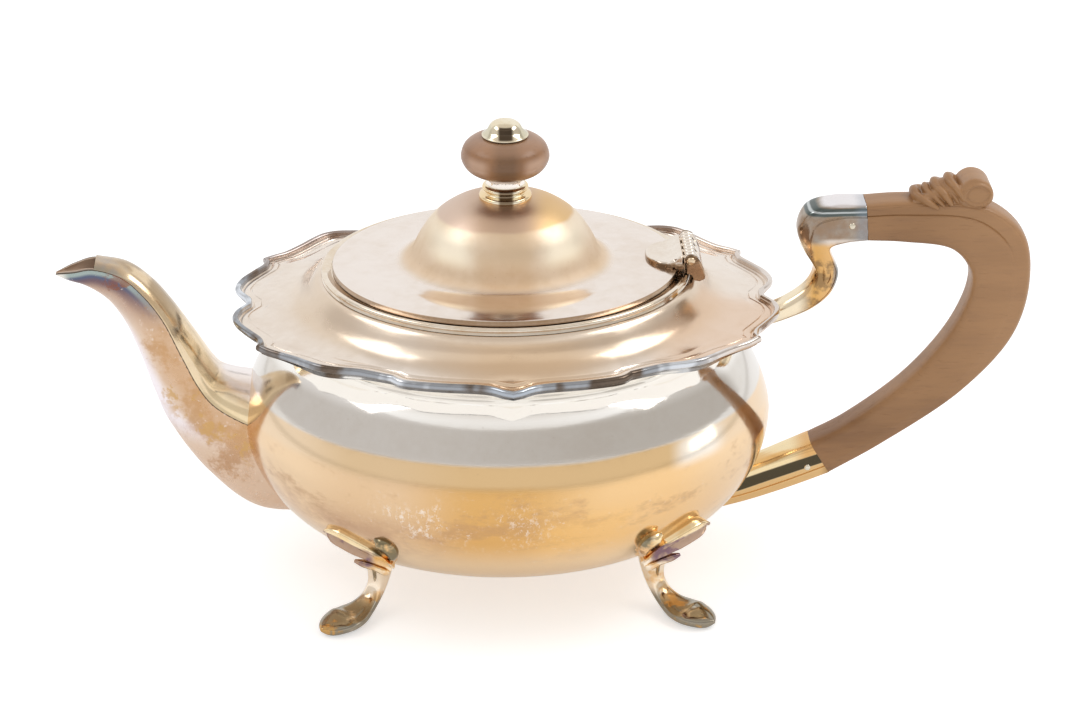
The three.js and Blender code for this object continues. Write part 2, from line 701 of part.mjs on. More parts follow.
// the two joints face the sockets; each has a tenon that a rivet crosses
const midpoint = (a, b) => [(a[0] + b[0]) / 2, (a[1] + b[1]) / 2];
const upperMiddle = midpoint(gripInner[0], gripOuter[0]);
const lowerMiddle = midpoint(gripInner.at(-1), gripOuter.at(-1));
const jointHeight = (inner, outer) => Math.hypot(outer[0] - inner[0], outer[1] - inner[1]);
const lowerTilt = Math.atan2(
  gripInner.at(-1)[0] - gripOuter.at(-1)[0], gripInner.at(-1)[1] - gripOuter.at(-1)[1]);
const upperJointHeight = jointHeight(gripInner[0], gripOuter[0]);
const lowerJointHeight = jointHeight(gripInner.at(-1), gripOuter.at(-1));
const tenonHeightShare = 0.56;

// a block along -X from the joint, turned about Y so that it points into its socket
function tenon(middle, height, width, length, tilt) {
  const piece = block(length + overrun, width, height, (overrun - length) / 2, 0, 0);
  piece.rotateY(tilt);
  return piece.translate(middle[0], 0, middle[1]);
}

const upperTenon = tenon(upperMiddle, upperJointHeight * tenonHeightShare, tenonWidth, tenonLength, 0);
const lowerTenon = tenon(lowerMiddle, lowerJointHeight * tenonHeightShare, tenonWidth, tenonLength, lowerTilt);
const rivetInset = tenonLength * 0.42;
const upperRivet = [upperMiddle[0] - rivetInset, upperMiddle[1] - upperJointHeight * 0.04];
const lowerRivet = [
  lowerMiddle[0] - rivetInset * Math.cos(lowerTilt), lowerMiddle[1] + rivetInset * Math.sin(lowerTilt),
];
const rivetRod = (radius, place, length) => crossRod(radius, length, place[0], place[1], 12);

// carved thumb scroll: a volute and three leaf lobes that fall away towards the pot
const scrollStretch = 1.35;
const scrollX = handleX(0.766);
const scrollZ = handleTop + scrollRadius * 0.9;
const volute = new THREE.CylinderGeometry(scrollRadius, scrollRadius, handleWidth * 0.98, 16);
volute.scale(scrollStretch, 1, 1);
volute.translate(scrollX, 0, scrollZ);
const lobeShares = [
  { back: 1.9, up: 0.25, long: 1.25, high: 1.0, wide: 0.47 },
  { back: 3.3, up: -0.1, long: 1.15, high: 0.95, wide: 0.44 },
  { back: 4.7, up: -0.5, long: 1.2, high: 0.8, wide: 0.38 },
];
const lobes = lobeShares.map(({ back, up, long, high, wide }) => {
  const lobe = new THREE.SphereGeometry(1, 8, 5);
  lobe.scale(scrollRadius * long, handleWidth * wide, scrollRadius * high);
  lobe.rotateY(-25 * degree);
  return lobe.translate(scrollX - scrollRadius * back, 0, scrollZ + scrollRadius * up - scrollRadius * 0.5);
});
const voluteFoot = block(
  scrollRadius * 2, handleWidth * 0.9, scrollRadius, scrollX, 0, scrollZ - scrollRadius * 0.8);
const grip = cut(
  join(gripBar, upperTenon, lowerTenon, volute, voluteFoot, ...lobes),
  rivetRod(rivetRadius + pinGap, upperRivet, handleWidth + overrun),
  rivetRod(rivetRadius + pinGap, lowerRivet, handleWidth + overrun));
add('handle_grip', grip, handleWood);

// Cast sockets, as pairs of edge points in the same shares as the grip; both stop short of the grip's joints
const upperInnerShares = [
  [0.332, 0.896], [0.241, 0.889], [0.182, 0.872], [0.208, 0.838], [0.229, 0.803], [0.201, 0.748],
  [0.128, 0.706], [0.020, 0.676], [-0.149, 0.642],
];
const upperOuterShares = [
  [0.321, 0.995], [0.199, 0.996], [0.090, 0.974], [0.054, 0.925], [0.085, 0.866], [0.128, 0.820],
  [0.109, 0.779], [0.009, 0.729], [-0.149, 0.690],
];
const socketSection = barSection(socketFacets, 3);
const upperHalfWidth = (share) => mix(socketWidth, socketRootWidth, Math.min(share * 2.2, 1)) / 2;
const upperShape = bar(
  upperInnerShares.map(handlePlace), upperOuterShares.map(handlePlace), upperHalfWidth, socketSection, 14);

// a block past the joint plane that trims the socket's end flat, the seat gap short of the grip
function screen(middle, height, tilt) {
  const piece = block(seatGap + overrun, 2 * handleWidth, 2 * height, (overrun - seatGap) / 2, 0, 0);
  piece.rotateY(tilt);
  return piece.translate(middle[0], 0, middle[1]);
}
const jointLean = Math.atan2(gripInner[0][0] - gripOuter[0][0], gripOuter[0][1] - gripInner[0][1]);
const tenonRoom = (middle, height, tilt) => tenon(
  middle, height * tenonHeightShare + 2 * boreGap, tenonWidth + 2 * boreGap, tenonLength + boreGap, tilt);
const thorn = new THREE.SphereGeometry(1, 10, 6);
thorn.scale(scrollRadius * 0.8, socketRootWidth * 0.42, scrollRadius * 0.36);
thorn.rotateY(20 * degree);
thorn.translate(handleX(0.087), 0, handleTop * 0.866);
const upperSocket = cut(
  join(upperShape, thorn), bowlTool, tenonRoom(upperMiddle, upperJointHeight, 0),
  screen(upperMiddle, upperJointHeight, -jointLean), rivetRod(rivetRadius + pinGap, upperRivet, socketWidth + overrun));
add('handle_upper_socket', upperSocket, blueSilver);

const lowerInnerShares = [
  [0.132, 0.338], [0.041, 0.314], [-0.050, 0.288], [-0.169, 0.256], [-0.287, 0.236],
];
const lowerOuterShares = [
  [0.216, 0.250], [0.115, 0.224], [0.009, 0.199], [-0.110, 0.172], [-0.268, 0.142],
];
const lowerHalfWidth = (share) => mix(socketWidth, socketRootWidth * 1.2, share) / 2;
const lowerShape = bar(
  lowerInnerShares.map(handlePlace), lowerOuterShares.map(handlePlace), lowerHalfWidth, socketSection, 7);
const lowerSocket = cut(
  lowerShape, bowlTool, tenonRoom(lowerMiddle, lowerJointHeight, lowerTilt),
  screen(lowerMiddle, lowerJointHeight, lowerTilt), rivetRod(rivetRadius + pinGap, lowerRivet, socketWidth + overrun));
add('handle_lower_socket', lowerSocket, warmSilver);

add('handle_upper_pin', rivetRod(rivetRadius, upperRivet, socketWidth), paleSilver);
add('handle_lower_pin', rivetRod(rivetRadius, lowerRivet, socketWidth * 0.97), paleSilver);

// Feet: drawn with the knee over the origin and the toe along +X, as shares of the reach and the height
const footPlace = ([out, up]) => [footReach * out, footHeight * up];
const legInnerShares = [
  [1, 0.1], [0.92, 0.02], [0.76, -0.015], [0.52, -0.01], [0.31, 0.06], [0.12, 0.2], [-0.03, 0.42], [-0.13, 0.7],
  [-0.18, 0.96],
];
const legOuterShares = [
  [1, 0.15], [0.93, 0.185], [0.78, 0.225], [0.57, 0.25], [0.4, 0.28], [0.26, 0.37], [0.18, 0.53], [0.19, 0.76],
  [0.27, 1],
];
const legSideShares = [0.06, 0.66, 0.98, 0.94, 0.66, 0.5, 0.48, 0.7, 1];
const sideCurve = (shares, width) => {
  const curve = new THREE.SplineCurve(shares.map((share, index) => flat(index, share)));
  return (way) => curve.getPoint(way).y * width / 2;
};
const footSection = barSection(footFacets, 2.3);
const leg = bar(
  legInnerShares.map(footPlace), legOuterShares.map(footPlace), sideCurve(legSideShares, footWidth), footSection, 10);

// the tongue leaf lies up the belly, with a small leaf beside the knee and a curl on the other side
const leafInnerShares = [
  [-0.045, 0.93], [0.11, 1.06], [0.29, 1.21], [0.445, 1.39], [0.6, 1.62], [0.73, 1.84], [0.835, 2.02],
];
const leafOuterShares = [
  [0.045, 0.63], [0.2, 0.78], [0.38, 0.95], [0.555, 1.1], [0.725, 1.3], [0.86, 1.54], [0.925, 1.79],
];
const leafPlace = ([out, up]) => [leafReach * out, footHeight * up];
const leafSideShares = [0.75, 0.95, 1.05, 1.05, 0.95, 0.7, 0.3];
const tongue = bar(
  leafInnerShares.map(leafPlace), leafOuterShares.map(leafPlace), sideCurve(leafSideShares, footWidth),
  footSection, 6);
tongue.rotateZ(5 * degree);
tongue.translate(0, footWidth * 0.08, 0);

const curlInnerShares = [[0, 0.98], [0.18, 1.14], [0.36, 1.31], [0.51, 1.52], [0.67, 1.74], [0.8, 1.97], [0.9, 2.12]];
const curlOuterShares = [[0.07, 0.76], [0.24, 0.89], [0.44, 1.02], [0.62, 1.19], [0.8, 1.41], [0.93, 1.67], [0.98, 1.88]];
const curlSideShares = [0.5, 0.5, 0.46, 0.48, 0.52, 0.48, 0.26];
const curl = bar(
  curlInnerShares.map(leafPlace), curlOuterShares.map(leafPlace), sideCurve(curlSideShares, footWidth),
  barSection(curlFacets, 2), 5);
curl.rotateZ(46 * degree);
curl.translate(0, footWidth * 0.4, 0);
const sideLeaf = new THREE.SphereGeometry(1, 7, 4);
sideLeaf.scale(leafReach * 0.3, footWidth * 0.24, footWidth * 0.15);
sideLeaf.rotateY(-27 * degree);
sideLeaf.rotateZ(-10 * degree);
sideLeaf.translate(leafReach * 0.2, -footWidth * 0.44, footHeight * 0.8);
const floorTool = block(4 * footReach, 4 * footReach, footReach, 0, 0, -footReach / 2);
const footShape = cut(join(leg, tongue, curl, sideLeaf), floorTool);
const footNames = [
  ['foot_handle_front', 1, -1], ['foot_handle_back', 1, 1], ['foot_spout_front', -1, -1], ['foot_spout_back', -1, 1],
];
for (const [name, alongX, alongY] of footNames) {
  const placed = footShape.clone().rotateZ(footAngle * degree);
  placed.translate(baseRadius * 0.971 + alongX * footShift, baseRadius * planShare * 0.853, 0);
  placed.scale(alongX, alongY, 1);
  add(name, cut(placed, bowlTool), warmSilver);
}

// The origin is the middle of the footprint, on the table
const extent = new THREE.Box3().setFromObject(pot);
pot.position.x = -(extent.min.x + extent.max.x) / 2;
pot.position.z = -extent.min.z;
pot.updateMatrixWorld(true);

export default pot;
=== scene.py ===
# %% [markdown]
# # A footed teapot
#
# An old silver-plated teapot, dressed in Blender around its CAD frame. The frame gives every piece its
# place and every hinge its turn; this lesson gives the pieces their smooth surfaces, their carving and
# their tarnish. Lengths are written in millimetres about the pot's middle, as a silversmith would measure
# them.

# %% Load the frame
import math

import bmesh
import bpy
import numpy as np
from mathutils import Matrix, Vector


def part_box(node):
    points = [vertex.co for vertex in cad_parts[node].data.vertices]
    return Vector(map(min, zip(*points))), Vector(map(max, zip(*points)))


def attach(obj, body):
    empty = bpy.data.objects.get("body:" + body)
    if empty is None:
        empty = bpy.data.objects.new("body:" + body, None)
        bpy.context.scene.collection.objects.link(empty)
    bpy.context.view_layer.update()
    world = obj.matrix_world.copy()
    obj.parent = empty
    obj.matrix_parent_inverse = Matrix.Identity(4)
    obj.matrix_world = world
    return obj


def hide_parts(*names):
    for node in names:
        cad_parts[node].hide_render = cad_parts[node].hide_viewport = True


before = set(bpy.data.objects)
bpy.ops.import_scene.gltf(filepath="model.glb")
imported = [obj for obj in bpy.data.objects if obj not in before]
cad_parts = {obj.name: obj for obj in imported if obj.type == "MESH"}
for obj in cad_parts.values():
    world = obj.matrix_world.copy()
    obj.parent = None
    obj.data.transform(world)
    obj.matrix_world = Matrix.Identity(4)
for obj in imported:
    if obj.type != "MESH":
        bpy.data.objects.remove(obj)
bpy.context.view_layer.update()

MM = 0.001
low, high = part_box("opening_bezel")
POT_MIDDLE = (low.x + high.x) / 2 / MM
PLAN_SHARE = 0.8616
print(f"{len(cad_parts)} nodes, the pot's middle stands at x = {POT_MIDDLE:.2f} mm")
print(f"the oval pot is {PLAN_SHARE} times as deep as it is wide")

# %% [markdown]
# ## Surfaces from arrays
#
# A smooth shape is a grid of points: rows go along it and columns go round it. Blender could model such a
# grid by hand, but a formula gives the same shape each time and stays easy to change. All points are worked
# out at once with numpy, and the faces join neighbours in the grid.

# %% Curves and outlines


def hermite(share, first, second, first_slope, second_slope):
    """A cubic from first to second: the share of the way, with the slope given at both ends."""
    return ((1 + 2 * share) * (1 - share) ** 2 * first + share * (1 - share) ** 2 * first_slope
            + share ** 2 * (3 - 2 * share) * second + share ** 2 * (share - 1) * second_slope)


def smooth(points, count):
    """A curve through the points: cubics whose slope at a point comes from its two neighbours. The steps
    between knots are the square roots of the distances, so close points make no loops."""
    points = np.asarray(points, float)
    steps = np.linalg.norm(np.diff(points, axis=0), axis=1)
    knots = np.concatenate([[0], np.cumsum(np.sqrt(steps + 1e-9))])
    slopes = np.gradient(points, knots, axis=0)
    at = np.linspace(0, knots[-1], count)
    part = np.clip(np.searchsorted(knots, at, side="right") - 1, 0, len(points) - 2)
    span = (knots[part + 1] - knots[part])[:, None]
    share = (at - knots[part])[:, None] / span
    return hermite(share, points[part], points[part + 1], span * slopes[part], span * slopes[part + 1])


def along(stations, rows):
    """The listed stations as a smooth curve with an equal share of the rows between neighbours."""
    stations = np.asarray(stations, float)
    stations = stations if stations.ndim == 2 else stations[:, None]
    at = np.linspace(0, len(stations) - 1, rows)
    slopes = np.gradient(stations, axis=0)
    part = np.minimum(at.astype(int), len(stations) - 2)
    share = (at - part)[:, None]
    return hermite(share, stations[part], stations[part + 1], slopes[part], slopes[part + 1])


def offset(profile, distance):
    """The profile moved to the right of its travel: each point plus distance times the turned tangent."""
    tangent = np.gradient(profile, axis=0)
    tangent /= np.linalg.norm(tangent, axis=1)[:, None] + 1e-12
    return profile + distance * np.stack([tangent[:, 1], -tangent[:, 0]], 1)


def bent(value, power):
    """The value raised to a power, with its sign kept, as in a superellipse."""
    return np.sign(value) * np.abs(value) ** power


def eased(value, start, end):
    """0 before start, 1 after end, and 3t² - 2t³ between them."""
    share = np.clip((np.asarray(value, float) - start) / (end - start), 0, 1)
    return share * share * (3 - 2 * share)


def bell(value, middle, width):
    """A bell curve: 1 at the middle, and e to the minus one at a width from it."""
    return np.exp(-(((value - middle) / width) ** 2))


print("a curve over three points:", smooth([(0, 0), (1, 1), (2, 0)], 5).round(2).tolist())

# %% [markdown]
# A grid keeps its points in rows and columns. The helpers below make one by turning a profile, by
# stretching a section between two curves, or by closing the ends of rows that are already there.

# %% Grids


def grid(points, endless=False):
    """Points in rows and columns and the quads between them. Columns close round, and rows if endless."""
    rows, columns = points.shape[:2]
    index = np.arange(rows * columns).reshape(rows, columns)
    index = np.concatenate([index, index[:, :1]], 1)
    if endless:
        index = np.concatenate([index, index[:1]], 0)
    quads = np.stack([index[:-1, :-1], index[:-1, 1:], index[1:, 1:], index[1:, :-1]], -1)
    return points.reshape(-1, 3), quads.reshape(-1, 4)


def capped(points, ends=None):
    """A grid whose first and last rows are closed by points, which are their middles unless given."""
    if ends is None:
        ends = points[[0, -1]].mean(1, keepdims=True)
    ends = ends + 0 * points[[0, -1]]
    return grid(np.concatenate([ends[:1], points, ends[1:]]))


def turned(profile, columns, share=1.0):
    """The profile's (radius, height) points carried round Z: x = radius cos a, y = share radius sin a."""
    angle = np.linspace(0, 2 * np.pi, columns, endpoint=False)
    radius, height = profile[:, :1], profile[:, 1:]
    points = np.stack([radius * np.cos(angle), share * radius * np.sin(angle), height + 0 * angle], -1)
    return grid(points, endless=profile[0, 0] > 1e-6)


def bar(inner, outer, half_width, section, rows):
    """A bar in the XZ plane: a row's section reaches from the inner curve to the outer one, and sideways by
    the half width times the section's side."""
    start, end = smooth(inner, rows), smooth(outer, rows)
    across = (section[..., 0] + 1) / 2
    width = np.asarray(half_width, float).reshape(-1, 1) * section[..., 1]
    x = start[:, :1] + (end - start)[:, :1] * across
    z = start[:, 1:] + (end - start)[:, 1:] * across
    return capped(np.stack([x, np.broadcast_to(width, x.shape), z], -1))


def moved(shape, angle, place, flip=(1, 1, 1)):
    """A shape turned about Z by the angle in degrees, then moved, then mirrored by signs."""
    points, quads = shape
    c, s = math.cos(math.radians(angle)), math.sin(math.radians(angle))
    points = points @ np.array([[c, s, 0], [-s, c, 0], [0, 0, 1]])
    return (points + np.array(place, float)) * np.array(flip, float), quads


OVAL_COLUMNS, LATHE_COLUMNS = 160, 96
cone_points, cone_quads = turned(np.array([(0.0, 0.0), (10.0, 5.0)]), LATHE_COLUMNS)
print(f"a turned cone: {len(cone_points)} points and {len(cone_quads)} faces")

# %% [markdown]
# ## From grids to pieces
#
# A built object joins its grids in one mesh. A boolean cuts it, and a voxel skin makes overlapping shapes
# into one casting. A piece then rides on its body of the frame, in place of the CAD solid that it dresses.

# %% Meshes and pieces


def new_object(name, mesh):
    """An object in the scene that shows the mesh."""
    thing = bpy.data.objects.new(name, mesh)
    bpy.context.scene.collection.objects.link(thing)
    return thing


def built(name, *shapes):
    """An object from shapes in millimetres about the pot's middle: doubles merged, faces outwards."""
    points = np.concatenate([s[0] for s in shapes])
    starts = np.cumsum([0] + [len(s[0]) for s in shapes[:-1]])
    quads = np.concatenate([s[1] + start for s, start in zip(shapes, starts)])
    mesh = bpy.data.meshes.new(name)
    mesh.from_pydata(((points + [POT_MIDDLE, 0, 0]) * MM).tolist(), [], quads.tolist())
    sculpt = bmesh.new()
    sculpt.from_mesh(mesh)
    bmesh.ops.remove_doubles(sculpt, verts=sculpt.verts, dist=2e-6)
    bmesh.ops.dissolve_degenerate(sculpt, edges=sculpt.edges, dist=1e-7)
    bmesh.ops.recalc_face_normals(sculpt, faces=sculpt.faces)
    sculpt.to_mesh(mesh)
    sculpt.free()
    return new_object(name, mesh)


def settled(thing):
    """Works the object's modifiers into its mesh."""
    graph = bpy.context.evaluated_depsgraph_get()
    mesh = bpy.data.meshes.new_from_object(thing.evaluated_get(graph))
    thing.modifiers.clear()
    thing.data = mesh


def shaped(thing, cutter, operation="DIFFERENCE"):
    """A boolean with the cutter."""
    change = thing.modifiers.new("shape", "BOOLEAN")
    change.operation, change.object, change.solver = operation, cutter, "MANIFOLD"
    settled(thing)


def cast(thing, grain, rounds):
    """A casting: overlapping shapes become one skin of cells as fine as the grain, smoothed some rounds."""
    skin = thing.modifiers.new("skin", "REMESH")
    skin.mode, skin.voxel_size = "VOXEL", grain * MM
    soften = thing.modifiers.new("soften", "SMOOTH")
    soften.factor, soften.iterations = 0.5, rounds
    settled(thing)


def piece(thing, body, node, finish, crease=40):
    """Rides the object on its body in place of a CAD node, with its finish, and prints what it has."""
    mesh = thing.data
    mesh.materials.clear()
    mesh.materials.append(finish)
    mesh.polygons.foreach_set("use_smooth", np.ones(len(mesh.polygons), bool))
    mesh.set_sharp_from_angle(angle=math.radians(crease))
    mesh.update()
    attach(thing, body)
    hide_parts(node)
    mesh.calc_loop_triangles()
    print(f"{thing.name}: {len(mesh.loop_triangles)} triangles, for {node}")


# %% [markdown]
# ## Shader maths in plain Python
#
# Old silver is a mirror whose colour wanders. To say "gold below the belly, more where it is cloudy" in
# nodes by hand takes dozens of links, so a small class wraps a socket and lets ordinary + and * make the
# Math nodes.

# %% A socket that can be calculated with


class Wire:
    """One output socket. The operators add Math nodes and give the new output."""

    def __init__(self, net, socket):
        self.net, self.socket = net, socket

    def maths(self, operation, *values):
        return self.net.add("ShaderNodeMath", {"operation": operation}, dict(enumerate(values)))

    def __add__(self, other):
        return self.maths("ADD", self, other)

    def __sub__(self, other):
        return self.maths("SUBTRACT", self, other)

    def __rsub__(self, other):
        return self.maths("SUBTRACT", other, self)

    def __mul__(self, other):
        return self.maths("MULTIPLY", self, other)

    def __truediv__(self, other):
        return self.maths("DIVIDE", self, other)

    def __pow__(self, other):
        return self.maths("POWER", self, other)

    __radd__ = __add__

    def most(self, other):
        return self.maths("MAXIMUM", self, other)

    def size(self):
        return self.maths("ABSOLUTE", self)

    def between(self, start, end):
        """0 below start and 1 above end, eased between; start may be the larger one."""
        return self.net.add(
            "ShaderNodeMapRange", {"interpolation_type": "SMOOTHSTEP"},
            {"Value": self, "From Min": start, "From Max": end, "To Min": 0.0, "To Max": 1.0})

    def band(self, rise, full, fall, end):
        """0 up to rise, 1 from full to fall, and 0 again from end."""
        return self.between(rise, full) * self.between(end, fall)

    def near(self, value, full, none):
        """1 as far as full from the value, and 0 as far as none from it."""
        return (self - value).size().between(none, full)


# %% [markdown]
# The node tree has one method that adds a node of any kind, and a few short ones for the kinds used most.
# Colours are written as they look on the screen, from 0 to 255, and `tone` makes them linear.

# %% A node tree under construction


def tone(red, green, blue):
    """A screen colour of 0 to 255 as the linear colour that a shader takes."""
    parts = np.array([red, green, blue]) / 255
    linear = np.where(parts <= 0.04045, parts / 12.92, ((parts + 0.055) / 1.055) ** 2.4)
    return (*linear.tolist(), 1.0)


class Net:
    """A node tree whose nodes are added by type, settings and sockets."""

    def __init__(self, tree):
        self.tree = tree
        tree.nodes.clear()

    def add(self, kind, settings=None, sockets=None, output=0):
        """A node of a type, with settings first and then the values or wires of its sockets."""
        node = self.tree.nodes.new(kind)
        for name, value in (settings or {}).items():
            setattr(node, name, value)
        for name, value in (sockets or {}).items():
            if isinstance(value, Wire):
                self.tree.links.new(value.socket, node.inputs[name])
            else:
                node.inputs[name].default_value = value
        return Wire(self, node.outputs[output]) if len(node.outputs) else None

    def mix(self, share, first, second):
        """Two colours mixed by a share. A colour is a wire, a tone's three numbers, or four linear parts."""
        first, second = [tone(*c) if isinstance(c, tuple) and len(c) == 3 else c for c in (first, second)]
        return self.add("ShaderNodeMix", {"data_type": "RGBA"}, {0: share, 6: first, 7: second}, output=2)

    def noise(self, place, scale, detail, roughness, stretch=(1, 1, 1)):
        """Cloudy values from 0 to 1. The scale counts clouds to the metre, times the stretch on each axis."""
        where = self.add("ShaderNodeVectorMath", {"operation": "MULTIPLY"}, {0: place, 1: stretch})
        return self.add("ShaderNodeTexNoise", {}, {
            "Vector": where, "Scale": scale, "Detail": detail, "Roughness": roughness})

    def attributes(self, *names):
        """The values that the mesh stores at its points under these names."""
        return [self.add("ShaderNodeAttribute", {"attribute_name": name}, output=2) for name in names]

    def outputs(self, kind, *names):
        """Several outputs of one node."""
        node = self.add(kind).socket.node
        return [Wire(self, node.outputs[name]) for name in names]

    def axes(self, place):
        """The x, y and z of a place."""
        parts = self.add("ShaderNodeSeparateXYZ", {}, {0: place}).socket.node
        return [Wire(self, socket) for socket in parts.outputs]


# %% [markdown]
# ## Paint in coats
#
# Every finish here is painted the same way. It starts from a colour, and each coat moves that colour
# towards a tone where its mask says so. A mask is a wire that is 1 inside some part of the pot and 0
# outside it, and masks multiply. They read x, y and z in millimetres about the pot's middle, the same
# numbers that the shapes are drawn in.

# %% The paint on a surface


class Paint:
    """A material under construction: its axes in millimetres, and the colour and roughness so far."""

    def __init__(self, name):
        self.material = bpy.data.materials.new(name)
        self.material.use_nodes = True
        self.net = Net(self.material.node_tree)
        self.place = self.net.add("ShaderNodeTexCoord", output=3)
        x, y, z = self.net.axes(self.place)
        self.axes = x / MM - POT_MIDDLE, y / MM, z / MM

    def noise(self, scale, detail, roughness, stretch=(1, 1, 1)):
        return self.net.noise(self.place, scale, detail, roughness, stretch)

    def coat(self, mask, strength, colour):
        """Moves the colour towards another one, by the strength where the mask is 1."""
        self.colour = self.net.mix(mask * strength, self.colour, colour)

    def finished(self, height, strength, distance, sockets):
        """The material, with the height as fine relief and the other sockets set."""
        bump = self.net.add("ShaderNodeBump", {}, {
            "Height": height, "Strength": strength, "Distance": distance})
        surface = self.net.add("ShaderNodeBsdfPrincipled", {}, {
            "Base Color": self.colour, "Roughness": self.rough, "Normal": bump, **sockets})
        self.net.add("ShaderNodeOutputMaterial", {}, {"Surface": surface})
        print(f"{self.material.name}: {len(self.net.tree.nodes)} nodes")
        return self.material


# %% [markdown]
# ## Silver that has not been polished for years
#
# Silver plate goes from champagne over gold and brown to violet and blue as its tarnish film thickens. Each
# finish below is a metal with a base tone and a second tone in clouds, and then a function that lays coats:
# its tarnish, and on some pieces painted highlights, painted reflections and painted shade. Fine rubbing
# lines and pits go into the bump, and the same clouds make the shine a little uneven.

# %% The silver finish


def silver(name, base, clouds, depth, shine, cloud_scale, tarnish_and_painted_light=None, rubbed=0.5):
    """A tarnished silver: base tone, a cloud tone of some depth, and the coats of its tarnish and painted
    light.
    """
    paint = Paint(name)
    drift = paint.noise(cloud_scale, 4.0, 0.6)
    mottle = paint.noise(cloud_scale * 9, 3.0, 0.65)
    cloud = (drift * 0.7 + mottle * 0.3).between(0.40, 0.66)
    paint.drift = drift - 0.5
    paint.colour = paint.net.mix(cloud * depth, base, clouds)
    paint.rough = shine + cloud * 0.05 + mottle.between(0.5, 0.8) * 0.05
    if tarnish_and_painted_light:
        tarnish_and_painted_light(paint)
    flecks = paint.noise(1400.0, 2.0, 0.6).between(0.70, 0.80)
    paint.coat(flecks, 0.35, (150, 116, 90))
    lines = paint.noise(260.0, 2.0, 0.6, (1, 1, 9))
    crossed = paint.noise(210.0, 2.0, 0.6, (0.3, 3, 7))
    relief = lines * 0.6 + crossed * 0.4 + flecks * 0.8
    return paint.finished(relief, 0.05 * rubbed, 0.0004, {"Metallic": 1.0})


# %% [markdown]
# The body has three patinas. The drift is a slow cloud from -0.5 to 0.5. Added to a height or a distance,
# it makes the edge of a coat wander instead of running dead straight.

# %% Patina of the body

SCUFF_X, SCUFF_Z = -18.0, 46.0
DOME_FOOT, LID_EDGE = 28.5, 51.2
print(f"the belly is scuffed most round x = {SCUFF_X} mm, z = {SCUFF_Z} mm")


def belly_patina_and_painted_light(paint):
    """White silver above, with a painted reflection that makes it whiter; pale gold round the middle, partly
    tarnish and partly a painted reflection; amber below, with scuffs where it is knocked, a painted highlight
    on the right front, and painted light low down against the floor's shadow in the mirror.
    """
    x, y, z = paint.axes
    mix = paint.net.mix
    wave = paint.drift * 4.0
    low_down = (z + wave).between(60.0, 57.0)
    right, left = x.between(0.0, 30.0), x.between(-10.0, -36.0)
    ends = x.size().between(44.0, 66.0)
    front = y.between(0.0, -30.0)
    amber = mix(right, (220, 173, 108), (240, 200, 146))
    amber = mix(left, amber, (226, 193, 154))
    amber = mix(ends * 0.75, amber, (240, 212, 176))
    pale = mix(left, (218, 184, 136), (220, 190, 150))
    pale = mix(ends * 0.8, pale, (238, 214, 184))
    # A painted reflection: the top is painted whiter than the metal, as if it mirrored white.
    paint.coat(z.between(73.5, 76.5), 1.0, (250, 247, 242))
    # Pale gold, partly tarnish and partly a painted reflection, whose top edge follows a reflection's edge.
    paint.coat((z + wave * 0.4).between(65.5, 64.2), 1.0, pale)
    paint.coat(low_down, 1.0, amber)
    brushed = paint.noise(40.0, 5.0, 0.7, (1.0, 1.0, 2.2))
    paint.coat(low_down * brushed.between(0.50, 0.66), 0.55, (190, 150, 112))
    cloudy = paint.noise(24.0, 5.0, 0.66, (1.0, 1.0, 1.5))
    paint.coat(left * z.between(50.0, 38.0) * cloudy.between(0.42, 0.56), 0.55, (186, 146, 120))
    honey = x.band(0.0, 12.0, 30.0, 50.0) * z.between(54.0, 44.0) * cloudy.between(0.38, 0.56)
    paint.coat(honey, 0.5, (242, 194, 120))
    # Painted light: paler low down, to lift the floor's shadow seen in the mirror.
    paint.coat(z.between(41.0, 28.0), 0.75, (246, 222, 186))
    # A painted highlight on the right front of the belly.
    paint.coat(x.near(54.5, 3.0, 10.0) * z.near(61.5, 1.5, 5.5) * front, 0.8, (252, 246, 236))
    reach = ((x - SCUFF_X) ** 2.0 * 0.30 + (z - SCUFF_Z) ** 2.0 * 3.0) ** 0.5
    patch = paint.noise(95.0, 3.0, 0.6)
    scratch = paint.noise(700.0, 5.0, 0.8, (1.0, 1.0, 0.7))
    scuff = reach.between(22.0, 6.0) * front * scratch.between(0.52, 0.60) * patch.between(0.46, 0.62)
    wear = paint.noise(900.0, 4.0, 0.75, (0.7, 0.7, 1.0)).between(0.60, 0.72)
    scuff = scuff.most(wear * low_down * brushed.between(0.3, 0.6) * 0.45)
    paint.coat(scuff, 0.8, (250, 238, 224))
    paint.rough += scuff * 0.3 + low_down * 0.05


def lid_patina_and_painted_light(paint):
    """Golden haze on the dome with painted highlights on its two sides and a painted dark reflection on its
    front, brown round the collar and a brown line at the edge.
    """
    x, y, z = paint.axes
    mix = paint.net.mix
    oval = (x ** 2.0 + (y / PLAN_SHARE) ** 2.0) ** 0.5
    dome = (oval + paint.drift * 3.0).between(DOME_FOOT + 5.0, DOME_FOOT)
    paint.coat(dome, 0.85, (234, 214, 188))
    paint.coat(dome * paint.noise(60.0, 4.0, 0.6).between(0.42, 0.6), 0.5, (220, 196, 164))
    # A painted dark reflection on the front of the dome.
    paint.coat(x.near(0.0, 4.0, 12.0) * y.between(-8.0, -16.0) * dome, 0.45, (222, 190, 152))
    # Painted highlights on the dome's two sides.
    paint.coat(x.size().near(16.5, 2.0, 8.5) * z.band(104.5, 109.0, 112.0, 117.5), 0.9, (255, 244, 222))
    browned = mix(x.between(4.0, 13.0), (204, 174, 150), (222, 184, 128))
    browned = mix(x.between(-6.0, -15.0), browned, (214, 190, 174))
    paint.coat((oval + paint.drift * 4.0).between(20.5, 19.2), 0.85, browned)
    paint.coat(oval.between(LID_EDGE, LID_EDGE + 0.2), 0.8, (150, 118, 84))
    paint.rough += dome * 0.28 + oval.near(DOME_FOOT, 1.0, 4.5) * 0.30


